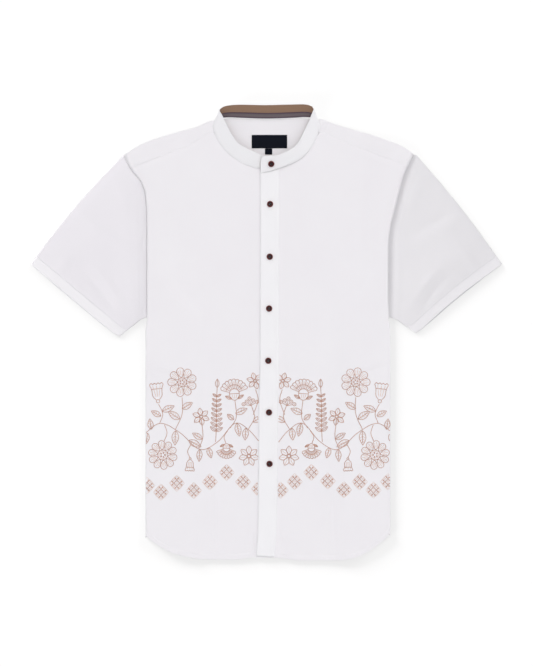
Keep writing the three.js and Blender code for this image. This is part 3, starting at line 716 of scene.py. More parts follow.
@dataclass(frozen=True)
class FrontRelief:
    """Soft shapes of the two fronts over their flat layers, in mm.

    They are creases, the rims along the armholes, the groove beside the placket and the ripples of the hem.
    """

    creases: tuple[Crease, ...] = (
        Crease(-166, -69, 163, 42, 5.0, -0.7, 2), Crease(-160, -62, 161, 36, 5.0, 0.5, 2),
        Crease(172, -63, 17, 40, 5.0, -0.7, -2), Crease(168, -56, 18, 34, 5.0, 0.5, -2),
        Crease(-90, -316, 90, 62, 1.8, 0.8), Crease(-84, -310, 90, 66, 3.0, -0.6),
        Crease(107, -316, 91, 66, 1.8, 0.8), Crease(113, -308, 91, 66, 3.0, -0.6),
        Crease(-22, -352, 96, 34, 3.2, -1.5, 2), Crease(-30, -348, 97, 30, 4.0, 0.8, 2),
        Crease(24, -352, 92, 34, 3.2, -1.5, -2), Crease(32, -346, 90, 30, 4.0, 0.8, -2),
        Crease(-60, 205, 74, 90, 12, 0.45, 4), Crease(-128, 176, 98, 110, 16, -0.45, 6),
        Crease(-150, 96, 84, 70, 11, 0.4, -4), Crease(66, 200, 100, 95, 13, 0.45, -4),
        Crease(132, 168, 82, 105, 16, -0.45, -5), Crease(160, 90, 97, 64, 11, 0.4, 4),
        Crease(-110, 10, 12, 70, 15, -0.35, 3), Crease(112, 2, 168, 66, 15, -0.35, 3),
        Crease(-176, -150, 88, 80, 7, -0.35, 2), Crease(184, -160, 92, 84, 7, -0.35, -2),
        Crease(-58, -60, 84, 120, 17, 0.3, 4), Crease(52, -70, 96, 115, 17, 0.3, -4),
        Crease(-60, -330, 12, 40, 5, 0.4, 2), Crease(60, -336, 170, 38, 5, 0.4, 2),
    )
    rim_left: float = -0.6
    rim_right: float = 1.5
    rim_run: float = 9.0
    rim_from: float = 22.0
    rim_to: float = 75.0
    groove: float = 0.45
    groove_at: float = -0.5
    groove_run: float = 0.8
    ripple: float = 0.34
    ripple_up: float = 3.5
    ripple_run: float = 18.0
    ripple_pitch: float = 9.5
    ripple_lean: float = 0.45
    ripple_from: Pair = (70.0, 120.0)
    ripple_to: Pair = (178.0, 196.0)

    def rim(self, x: Array, y: Array) -> Array:
        """Extra height along the armholes, where the seam allowances lie under the edge."""
        left = self.rim_left * np.exp(-(((x - PLAN.side_at(Side.LEFT, y)) / self.rim_run) ** 2))
        right = self.rim_right * np.exp(-(((PLAN.side_at(Side.RIGHT, y) - x) / self.rim_run) ** 2))
        return (left + right) * smoothstep(y, self.rim_from, self.rim_to)

    def __call__(self, x: Array, y: Array) -> Array:
        """Reads the height that the creases and the hem's roping add at points of the fronts."""
        beside = x - PLAN.placket_left(y)
        from_hem = y - PLAN.hem(x)
        height = creased(self.creases, x, y) + self.rim(x, y)
        height = height - self.groove * np.exp(-(((beside - self.groove_at) / self.groove_run) ** 2))
        roping = self.ripple * np.exp(-((from_hem - self.ripple_up) ** 2) / self.ripple_run)
        turns = (x + self.ripple_lean * from_hem) / self.ripple_pitch
        wave = np.sin(2 * np.pi * turns + 1.7 * np.sin(x / 23))
        outward = np.abs(x)
        share = smoothstep(outward, *self.ripple_from) * (1 - smoothstep(outward, *self.ripple_to))
        return height + roping * wave * share


RELIEF = FrontRelief()


@dataclass(frozen=True)
class BodyPanels:
    """The two fronts and the back, folded under along both sides.

    Columns beside the placket are distances from its left edge; None is where the front ends under it.
    """

    cell: float = 3.2
    lowest: float = -365.0
    highest: float = 300.0
    hem_raise: float = 0.34
    hem_turn_rows: int = 8
    hem_rows: tuple[float, ...] = (0, 0.5, 1.5, 3, 4.5, 6, 7, 7.6, 8.4, 10)
    hem_loft: float = 0.9
    back_loft: float = 0.8
    loft_run: float = 26.0
    fold_steps: int = 9
    flap_steps: int = 14
    seam_lap: float = 2.5
    neck_start: float = 0.28
    neck_columns: int = 26
    side_columns: int = 38
    back_columns: int = 110
    left_columns: tuple[float | None, ...] = (
        None, 15, 9, 4, 1.5, 0.6, 0, -0.5, -1.0, -1.6, -2.4, -4, -6, -9, -13, -18,
    )
    right_columns: tuple[float | None, ...] = (None, 26, 29, 30.3, 30.9, 31.4, 32, 33, 35, 38, 42)
    flat_beside: Pair = (-3.0, 32.0)
    front_cut: Pair = (300.0, 712.0)
    back_cut: Pair = (560.0, 634.0)

    def hem_rise(self, x: Array, y: Array) -> Array:
        """Height that the cloth keeps over the table near its hem."""
        return self.hem_loft * np.exp(-(((y - PLAN.hem(x)) / self.loft_run) ** 2))

    def top_of_front(self, x: Array, y: Array) -> Array:
        """Height of the upper face of the fronts at points of the plan, in mm."""
        lifted = PLAN.layer_mid(1) + PLAN.lift(PLAN.straight(x, y), y) + self.hem_rise(x, y)
        return lifted + RELIEF(x, y) + PLAN.shell / 2

    def _rows(self, top: Array, low: Array) -> Array:
        """Places of the rows of points up each column, from the hem.

        Args:
            top: Upper end of each column.
            low: Lower end of each column.

        Returns:
            One row of y for each row of points.
        """
        hem_rows = np.array(self.hem_rows)
        first = low + hem_rows[-1]
        rise = np.linspace(0, 1, self._lower_rows() + 1)[1:, None]
        climb = np.linspace(0, 1, int((self.highest - PLAN.flap_top) / self.cell) + 1)[1:, None]
        return np.concatenate(
            [low + hem_rows[:, None], mix(first, PLAN.flap_top, rise), mix(PLAN.flap_top, top, climb)]
        )

    def _lower_rows(self) -> int:
        """Number of rows between the hem's own and the top of the side flaps."""
        return int((PLAN.flap_top - self.lowest) / self.cell)

    def _flap_row(self) -> int:
        """Number of the row at the top of the side flaps."""
        return len(self.hem_rows) - 1 + self._lower_rows()

    def _seam(self, x: Array) -> Array:
        """Upper edge of the fronts: the yoke's seam, and the front of the neck."""
        return np.where(np.abs(x) > PLAN.neck_half + 1, PLAN.yoke_seam(x) + self.seam_lap, PLAN.front_neck(x))

    def _fold(self, side: Side, turn: float, low: Callable[[Array], Array]) -> Array:
        """Points of the cloth that goes round a side fold and lies under it, for the rows of the flap.

        Args:
            side: Side of the shirt.
            turn: Radius of the fold.
            low: Lower edge of the cloth by its place across.

        Returns:
            Points of the rows, from the fold to the side seam.
        """
        angles = np.pi * np.arange(1, self.fold_steps + 1) / self.fold_steps
        flap = PLAN.side_flap * np.arange(1, self.flap_steps + 1) / self.flap_steps
        reach = np.r_[side.value * turn * np.sin(angles), -side.value * flap]
        height = np.r_[PLAN.fold_z + turn * np.cos(angles), np.full(self.flap_steps, PLAN.fold_z - turn)]
        centre = PLAN.fold_x(side, 0.0)
        top = np.full(len(reach), PLAN.arm_level)
        y = self._rows(top, low(centre - reach))[: self._flap_row() + 1]
        x = PLAN.fold_x(side, y) + reach
        return np.stack([x, y, np.broadcast_to(height, x.shape)], -1)

    def _panel(
        self, x0: Array, top: Callable[[Array], Array], low: Callable[[Array], Array], layer: int
    ) -> Array:
        """Points of the flat part of a panel.

        Args:
            x0: Places of its columns where the sides are straight.
            top: Upper edge by place across.
            low: Lower edge by place across.
            layer: Layer of cloth that it lies in.

        Returns:
            Points by row and column.
        """
        y = self._rows(top(x0), low(x0))
        for _ in range(ROUNDS):
            across = PLAN.flared(x0[None, :], y)
            y = self._rows(top(across[-1]), low(across[0]))
        x = PLAN.flared(x0[None, :], y)
        z = PLAN.layer_mid(layer) + PLAN.lift(np.broadcast_to(x0, y.shape), y)
        return np.stack([x, y, z], -1)

    def front(self, side: Side, material: Material) -> Piece:
        """Makes one front with its folded side.

        Args:
            side: Side of the shirt.
            material: Shirting.

        Returns:
            The front.
        """
        s = side.value
        neck = PLAN.neck_half * np.sin(np.linspace(self.neck_start, 1, self.neck_columns) * np.pi / 2)
        sides = np.linspace(PLAN.neck_half + 2, abs(PLAN.edge(side)), self.side_columns)
        flat = self._panel(s * np.r_[neck, sides], self._seam, PLAN.hem, 1)
        y0 = flat[:, 0, 1]
        start = PLAN.placket_left(y0) + PLAN.placket_cover + (PLAN.gap if s > 0 else 0)
        inner = []
        for offset in self.left_columns if s < 0 else self.right_columns:
            x = start if offset is None else PLAN.placket_left(y0) + offset
            y = self._rows(self._seam(x[-1:]), PLAN.hem(x[:1]))[:, 0]
            inner.append(np.stack([x, y, flat[:, 0, 2]], -1))
        flat = np.concatenate([np.stack(inner, 1), flat], axis=1)
        flap_row = self._flap_row()
        flat[: flap_row + 1, -1, 0] = PLAN.fold_x(side, flat[: flap_row + 1, -1, 1])
        flat[..., 2] += RELIEF(flat[..., 0], flat[..., 1]) + self.hem_rise(flat[..., 0], flat[..., 1])
        whole = np.concatenate([flat, self._filled(self._fold(side, PLAN.turn, PLAN.hem), len(flat))], axis=1)
        columns = flat.shape[1]
        turned = np.zeros(whole.shape[:2])
        turned[: self.hem_turn_rows, :columns] = self.hem_raise
        beside = whole[..., 0] - PLAN.placket_left(whole[..., 1])
        turned[(beside > self.flat_beside[0]) & (beside < self.flat_beside[1])] = 0
        keep = np.ones((whole.shape[0] - 1, whole.shape[1] - 1), bool)
        keep[flap_row:, columns - 1 :] = False
        if s < 0:
            whole, turned, keep = whole[:, ::-1], turned[:, ::-1], keep[:, ::-1]
        grid = ClothGrid(whole, PLAN.shell / 2 + turned, PLAN.shell / 2, keep)
        name = "front_left" if s < 0 else "front_right"
        return lay_cloth(grid, f"{name}_cloth", name, Slot.SHIRTING, material, self.front_cut, "folded", "back_panel")

    @staticmethod
    def _filled(fold: Array, rows: int) -> Array:
        """Repeats the last row of a fold up to a number of rows; the cells between them hold no cloth."""
        return np.concatenate([fold, np.repeat(fold[-1:], rows - len(fold), axis=0)])

    @staticmethod
    def _back_seam(x: Array) -> Array:
        """Upper edge of the back, below the yoke."""
        return np.full(np.shape(x), PLAN.back_seam - PLAN.gap)

    @staticmethod
    def _back_hem(x: Array) -> Array:
        """Lower edge of the back, a little inside the fronts'."""
        return PLAN.hem(x) + 1

    def back(self, material: Material) -> Piece:
        """Makes the back below the yoke, with both its folded sides.

        Args:
            material: Shirting.

        Returns:
            The back.
        """
        x0 = np.linspace(PLAN.edge_left, PLAN.edge_right, self.back_columns)
        flat = self._panel(x0, self._back_seam, self._back_hem, 0)
        flap_row = self._flap_row()
        folds = []
        for side, column in ((Side.LEFT, 0), (Side.RIGHT, -1)):
            flat[: flap_row + 1, column, 0] = PLAN.fold_x(side, flat[: flap_row + 1, column, 1])
            folds.append(self._filled(self._fold(side, PLAN.layer / 2, self._back_hem), len(flat)))
        whole = np.concatenate([folds[0][:, ::-1], flat, folds[1]], axis=1)
        whole[..., 2] += self.back_loft * self.hem_rise(whole[..., 0], whole[..., 1])
        whole[..., 2] += np.minimum(RELIEF.rim(whole[..., 0], whole[..., 1]), 0)
        keep = np.ones((whole.shape[0] - 1, whole.shape[1] - 1), bool)
        extra = folds[0].shape[1]
        keep[flap_row:, :extra] = False
        keep[flap_row:, -extra:] = False
        grid = ClothGrid(whole, PLAN.shell / 2, PLAN.wall / 2, keep)
        rests_on = ("front_left_cloth", "front_right_cloth")
        return lay_cloth(
            grid, "back_panel_cloth", "back_panel", Slot.SHIRTING, material, self.back_cut, "folded", *rests_on
        )


@dataclass(frozen=True)
class Yoke:
    """Yoke that comes over the shoulders: its front edges lap the fronts, its inside shows in the neck."""

    side_columns: int = 38
    neck_columns: int = 56
    front_shares: tuple[float, ...] = (0, 0.03, 0.07, 0.12)
    front_rows: int = 14
    turn_rows: int = 6
    back_rows: int = 30
    seam_raise: float = 0.1
    seam_run: float = 9.0
    seam_walls: Pair = (0.02, 0.16)
    inner_wall: float = 0.4
    crown_margin: float = 0.2
    neck_tuck: float = 85.5
    cut: Pair = (485.0, 150.0)
    creases: tuple[Crease, ...] = (
        Crease(92, 339, 62, 14, 2.2, 0.9), Crease(97, 336, 60, 13, 2.2, -0.8), Crease(-98, 338, 118, 12, 2.6, 0.5),
        Crease(-160, 312, 30, 34, 4, 0.35), Crease(165, 312, 152, 36, 4, 0.35),
    )

    def _crown(self, x: Array) -> Array:
        """Line along which the yoke turns over the shoulders."""
        return PLAN.shoulder(x) - (PLAN.layer + PLAN.shell) / 2 - self.crown_margin

    def make(self, material: Material) -> Piece:
        """Makes the yoke.

        Args:
            material: Shirting.

        Returns:
            The yoke.
        """
        left = np.linspace(PLAN.edge_left, -PLAN.neck_side, self.side_columns)
        middle = -PLAN.neck_side * np.cos(np.linspace(0, np.pi, self.neck_columns))
        right = np.linspace(PLAN.neck_side, PLAN.edge_right, self.side_columns)
        x0 = np.r_[left, middle[1:-1], right]
        radius = PLAN.layer / 2
        in_neck = np.abs(x0) < self.neck_tuck
        rows: list[Array] = []

        def settled(line: Callable[[Array], Array]) -> tuple[Array, Array]:
            """Finds the points of a row whose height depends on its places."""
            x = x0.copy()
            for _ in range(ROUNDS):
                x = PLAN.flared(x0, line(x))
            return x, line(x)

        for share in np.r_[self.front_shares, np.linspace(0.2, 1, self.front_rows)]:
            x, y = settled(lambda at: mix(PLAN.yoke_seam(at), self._crown(at), share))
            near_seam = np.exp(-(((y - PLAN.yoke_seam(x)) / self.seam_run) ** 2))
            z = PLAN.layer_mid(1) + PLAN.lift(x0, y) + self.seam_raise * near_seam + creased(self.creases, x, y)
            z = z + RELIEF.rim(x, y) * (1 - share)
            rows.append(np.stack([x, y, z], -1))
        x, y = settled(self._crown)
        for step in range(1, self.turn_rows):
            angle = math.pi * step / self.turn_rows
            z = PLAN.layer_mid(0.5) + radius * math.cos(angle) + PLAN.lift(x0, y)
            rows.append(np.stack([x, y + radius * math.sin(angle), z], -1))
        first_back = len(rows)
        for share in np.linspace(0, 1, self.back_rows):
            x, y = settled(
                lambda at: mix(np.where(in_neck, PLAN.back_neck(at), self._crown(at)), PLAN.back_seam, share)
            )
            rows.append(np.stack([x, y, PLAN.layer_mid(0) + PLAN.lift(x0, y)], -1))
        whole = np.stack(rows)
        keep = np.ones((whole.shape[0] - 1, whole.shape[1] - 1), bool)
        keep[:first_back] = ~(in_neck[:-1] | in_neck[1:])
        outer = np.full(whole.shape[:2], PLAN.shell / 2)
        outer[0], outer[1] = self.seam_walls
        grid = ClothGrid(whole, outer, self.inner_wall, keep)
        return lay_cloth(grid, "yoke_cloth", "yoke", Slot.SHIRTING, material, self.cut, "folded", "back_panel_cloth")


@dataclass(frozen=True)
class Sleeve:
    """Short sleeve: a flat tube with a tucked root, a valley beside the body, a soft ridge and a turned hem.

    Its points go by share, 0 at the ridge and 1 at the cuff, and by q, 0 at the underarm and 1 at the long
    fold. The heights from ridge to cuff_loft are those of the upper layer on the way to the cuff.
    """

    side: Side
    cuff_inner: Pair
    cuff_outer: Pair
    cuff_bow: float
    top_bow: float
    top: float
    ridge_top: float
    creases: tuple[Crease, ...]
    root_low: float = 33.0
    root_drop: float = 4.0
    edge_low: float = 25.0
    edge_drop: float = 1.0
    ridge_low: float = 20.0
    tuck: float = 11.0
    tuck_eased: float = 0.7
    tuck_ease: Pair = (240.0, 285.0)
    low_corner: Pair = (3.0, 0.08)
    high_corner: Pair = (1.2, 0.03)
    top_way: Pair = (0.75, 0.66)
    ridge: float = 2.9
    swell: float = 0.3
    crown: float = 2.7
    slope: float = 2.0
    cuff_loft: float = 1.0
    edge_fall: float = 1.25
    valley_floor: float = -1.25
    valley_end: float = 1.04
    valley_depth: float = 0.0
    inset: float = 0.00575
    upper_columns: int = 74
    lower_columns: int = 40
    turn_steps: int = 7
    valley_rows: int = 13
    down_rows: int = 60
    down_spread: float = 1.25
    hem_step: float = 0.004
    hem_rows: int = 12
    hem_raise: float = 0.32
    under_reach: float = 1.1
    under_from: Pair = (0.1, 0.2)
    under_to: Pair = (0.7, 0.82)
    cut: Pair = (600.0, 260.0)

    def _body(self, y: Array) -> Array:
        """Edge of the body at height y."""
        return PLAN.side_at(self.side, y)

    def _root(self, q: Array) -> Array:
        """End of the sleeve under the body."""
        y = mix(self.root_low, self.top - self.root_drop, q)
        tuck = self.tuck * (1 - self.tuck_eased * smoothstep(y, *self.tuck_ease))
        return np.stack([self._body(y) - self.side.value * tuck, y], -1)

    def _seam(self, q: Array) -> Array:
        """Line of the body's edge over the sleeve."""
        y = mix(self.edge_low, self.top - self.edge_drop, q)
        return np.stack([self._body(y), y], -1)

    def _crest(self, q: Array) -> Array:
        """Line of the ridge."""
        y = mix(self.ridge_low, self.ridge_top, q)
        return np.stack([PLAN.ridge_at(self.side, y), y], -1)

    def _cuff(self, q: Array, reach: Array | float = 0.0) -> Array:
        """Edge of the cuff, moved out by reach."""
        inner, outer = np.array(self.cuff_inner), np.array(self.cuff_outer)
        along = (outer - inner) / np.linalg.norm(outer - inner)
        outward = np.array([along[1], -along[0]]) * self.side.value
        corners = sum(
            size * np.maximum(0, 1 - from_corner / run) ** 2
            for (size, run), from_corner in ((self.low_corner, q), (self.high_corner, 1 - q))
        )
        push = self.cuff_bow * np.sin(np.pi * q) - corners + reach
        return inner + np.multiply.outer(q, outer - inner) + np.multiply.outer(push, outward)

    def place(self, share: Array, q: Array, reach: float = 0.0) -> Array:
        """Plan of a point between the ridge and the cuff.

        Args:
            share: 0 at the ridge, 1 at the cuff.
            q: 0 at the underarm fold, 1 at the long fold.
            reach: How much further out the cuff lies.

        Returns:
            Its x and y.
        """
        start, end = self._crest(q), self._cuff(q, reach)
        swell = self.top_bow * np.sin(np.pi * np.minimum(share, 1)) * q * q
        way = np.array([self.side.value, 1]) * self.top_way
        return start + (end - start) * share[..., None] + swell[..., None] * way

    def cuff_share(self, q: Array, depth: float) -> Array:
        """Share from ridge to cuff of a line that runs depth mm inside the cuff's edge."""
        length = np.linalg.norm(self._crest(q) - self._cuff(q), axis=-1)
        return 1 - depth / length

    def loft(self, share: Array, q: Array, spot: Array) -> Array:
        """Height that the upper layer stands over its flat place."""
        swollen = self.ridge + self.swell
        heights = (self.ridge, swollen, swollen, self.crown, self.slope, self.cuff_loft)
        profile = Course(tuple(zip((0, 0.05, 0.14, 0.35, 0.65, 1), heights)))
        fall = np.minimum(1, np.sqrt(np.clip(4 * q * (1 - q), 0, 1)) * self.edge_fall)
        return (profile(share) + creased(self.creases, spot[..., 0], spot[..., 1])) * fall

    def top_of(self, share: Array, q: Array) -> Array:
        """Point on the upper face between ridge and cuff, with its height, in mm."""
        spot = self.place(share, q)
        z = PLAN.layer_mid(1) + self.loft(share, q, spot) + PLAN.shell / 2
        return np.concatenate([spot, z[..., None]], -1)

    def make(self, material: Material) -> Piece:
        """Makes the sleeve.

        Args:
            material: Shirting.

        Returns:
            The sleeve.
        """
        turns = np.arange(1, self.turn_steps) / self.turn_steps
        upper = (1 - np.cos(np.linspace(0, np.pi, self.upper_columns))) / 2
        q = np.r_[upper, np.ones(len(turns)), np.linspace(1, 0, self.lower_columns), np.zeros(len(turns))]
        q = mix(self.inset, 1 - self.inset, q)
        turn = np.r_[np.zeros(self.upper_columns), turns, np.ones(self.lower_columns), turns[::-1]]
        is_top = turn == 0
        on_low = (turn > 0.5).astype(float)
        flat = np.zeros(len(q))
        seam, crest = self._seam(q), self._crest(q)
        rows = [self._station(self._root(q), flat, q, turn), self._station(seam, flat, q, turn)]
        for share in np.linspace(0, 1, self.valley_rows)[1:-1]:
            spot = seam + (crest - seam) * share
            rise = self.loft(flat, q, spot) * smoothstep(share, self.valley_floor, self.valley_end)
            rows.append(self._station(spot, (rise - self.valley_depth * (1 - share)) * is_top, q, turn))
        limit = self.cuff_share(q, PLAN.cuff_depth)
        for step in np.linspace(0, 1, self.down_rows) ** self.down_spread:
            share = step * (limit - self.hem_step)
            spot = self.place(share, q)
            rows.append(self._station(spot, self.loft(share, q, spot) * is_top, q, turn))
        hem_start = len(rows)
        peek = self.under_reach * smoothstep(q, *self.under_from) * (1 - smoothstep(q, *self.under_to))
        below = (self._cuff(q, peek) - self._cuff(q)) * on_low[:, None]
        for step in np.linspace(0, 1, self.hem_rows):
            share = mix(limit, 1, step)
            spot = self.place(share, q) + below * step
            rows.append(self._station(spot, self.loft(share, q, spot) * is_top, q, turn))
        whole = np.stack(rows)
        outer = np.full(whole.shape[:2], PLAN.shell / 2)
        outer[hem_start:] += self.hem_raise
        if self.side is Side.LEFT:
            whole, outer = whole[:, ::-1], outer[:, ::-1]
        grid = ClothGrid(whole, outer, PLAN.shell / 2, ring=True)
        name = "sleeve_left" if self.side is Side.LEFT else "sleeve_right"
        piece = lay_cloth(
            grid, f"{name}_cloth", name, Slot.SHIRTING, material, self.cut, "folded", "back_panel_cloth"
        )
        self._mark_hem(piece, *whole.shape[:2], hem_start)
        return piece

    @staticmethod
    def _mark_hem(piece: Piece, rows: int, columns: int, hem_start: int) -> None:
        """Marks the points of the turned hem for the cloth's material, on the outer and the inner side."""
        row = np.arange(2 * rows * columns) % (rows * columns) // columns
        turned = piece.data.attributes.new("turned", "FLOAT", "POINT")
        turned.data.foreach_set("value", (row > hem_start).astype(float))

    def _station(self, spot: Array, loft: Array, q: Array, turn: Array) -> Array:
        """Points round the tube at one station of its length."""
        radius = PLAN.layer / 2
        high_step = spot[self.upper_columns - 1] - spot[self.upper_columns - 3]
        low_step = spot[0] - spot[2]
        outward = np.where(
            (q > 0.5)[:, None], high_step / np.linalg.norm(high_step), low_step / np.linalg.norm(low_step)
        )
        push = radius * np.sin(np.pi * turn) * ((turn > 0) & (turn < 1))
        z = PLAN.layer_mid(0.5) + radius * np.cos(np.pi * turn) + loft
        return np.concatenate([spot + outward * push[:, None], z[:, None]], -1)


LEFT_SLEEVE = Sleeve(
    side=Side.LEFT,
    cuff_inner=(-243.8, -8.6),
    cuff_outer=(-389.4, 112.6),
    cuff_bow=0,
    top_bow=5,
    top=293.6,
    ridge_top=293.4,
    creases=(
        Crease(-262, 82, 128, 56, 7, 0.9, 4), Crease(-275, 70, 128, 50, 6, -0.9, 4),
        Crease(-250, 150, 150, 60, 12, 0.8, 8), Crease(-262, 178, 146, 58, 10, -0.7, 8),
        Crease(-300, 190, 132, 52, 12, 0.6, -6), Crease(-330, 120, 62, 40, 9, 0.5, 3),
        Crease(-240, 232, 118, 40, 9, 0.7, 5), Crease(-203.5, 147, 84, 13, 2.6, -1.0),
        Crease(-203, 34, 90, 12, 2.6, -1.0),
    ),
)
RIGHT_SLEEVE = Sleeve(
    side=Side.RIGHT,
    cuff_inner=(247.5, -3),
    cuff_outer=(388.9, 112.2),
    cuff_bow=-4,
    top_bow=4,
    top=295.4,
    ridge_top=292.4,
    creases=(
        Crease(262, 80, 52, 58, 7, 0.9, -4), Crease(276, 66, 52, 48, 6, -0.9, -4),
        Crease(252, 152, 30, 62, 12, 0.8, -8), Crease(268, 176, 34, 56, 10, -0.8, -8),
        Crease(310, 188, 48, 54, 12, 0.7, 6), Crease(336, 116, 118, 42, 9, 0.5, -3),
        Crease(246, 228, 62, 38, 9, 0.7, -5), Crease(302, 122, 50, 120, 46, 2.6),
    ),
    ridge=1.6,
    swell=0.25,
    crown=2.2,
    valley_floor=0.22,
    valley_depth=0.35,
)


@dataclass(frozen=True)
class Placket:
    """Strip over the meeting of the fronts, free along its left edge, with a leaning foot."""

    middle_z: float = 3.02
    outer_wall: float = 0.62
    inner_wall: float = 0.3
    edge_rise: float = 0.35
    rise_run: float = 3.0
    edge_drop: float = 1.05
    drop_run: float = 2.2
    rim_thinned: float = 0.4
    rim_run: float = 0.7
    nominal_width: float = 31.0
    top_left: float = 265.3
    top_right: float = 270.8
    foot_left: float = -368.8
    foot_right: float = -370.6
    rows: int = 220
    columns: int = 22
    stitch_in: tuple[float, ...] = (5.2, 8.0)
    stitch_groove: float = 0.22
    stitch_run: float = 0.6
    cut: Pair = (33.0, 642.0)
    waves: tuple[Crease, ...] = (
        Crease(-6, 150, 88, 60, 7, 0.25), Crease(12, 60, 94, 70, 7, 0.25), Crease(-3, -20, 90, 60, 6, 0.25),
        Crease(8, -330, 96, 40, 5, 0.45), Crease(-8, -345, 88, 26, 4, -0.3),
    )

    def left(self, y: Array) -> Array:
        """Place of its free edge."""
        return PLAN.placket_left(y)

    def right(self, y: Array) -> Array:
        """Place of its sewn edge."""
        return PLAN.placket_left(y) + PLAN.placket_width(y)

    def top(self, x: Array, y: Array) -> Array:
        """Height of its upper face."""
        return self.middle_z + self.outer_wall + creased(self.waves, x, y) + BODY.hem_rise(x, y)

    def make(self, material: Material) -> Piece:
        """Makes the strip.

        Args:
            material: Shirting.

        Returns:
            The placket.
        """
        shares = np.r_[0, 0.012, 0.03, np.linspace(0.06, 0.94, self.columns), 0.97, 0.988, 1]
        low = mix(self.foot_left, self.foot_right, shares)
        high = mix(self.top_left, self.top_right, shares)
        y = mix(low, high, np.linspace(0, 1, self.rows)[:, None])
        x = self.left(y) + PLAN.placket_width(y) * shares
        free = np.exp(-(((x - self.left(y)) / self.rise_run) ** 2))
        sewn = np.exp(-(((self.right(y) - x) / self.drop_run) ** 2))
        z = self.middle_z + creased(self.waves, x, y) + self.edge_rise * free - self.edge_drop * sewn
        z = z + BODY.hem_rise(x, y)
        from_edge = np.minimum(shares, 1 - shares) * self.nominal_width
        outer = self.outer_wall - self.rim_thinned * np.exp(-((from_edge / self.rim_run) ** 2))
        for depth in self.stitch_in:
            from_row = (1 - shares) * self.nominal_width - depth
            outer = outer - self.stitch_groove * np.exp(-((from_row / self.stitch_run) ** 2))
        grid = ClothGrid(np.stack([x, y, z], -1), outer[None, :], self.inner_wall)
        rests_on = ("front_left_cloth", "front_right_cloth")
        return lay_cloth(
            grid, "front_placket_cloth", "front_placket", Slot.SHIRTING, material, self.cut, "laid", *rests_on
        )


PLACKET = Placket()
BODY = BodyPanels()


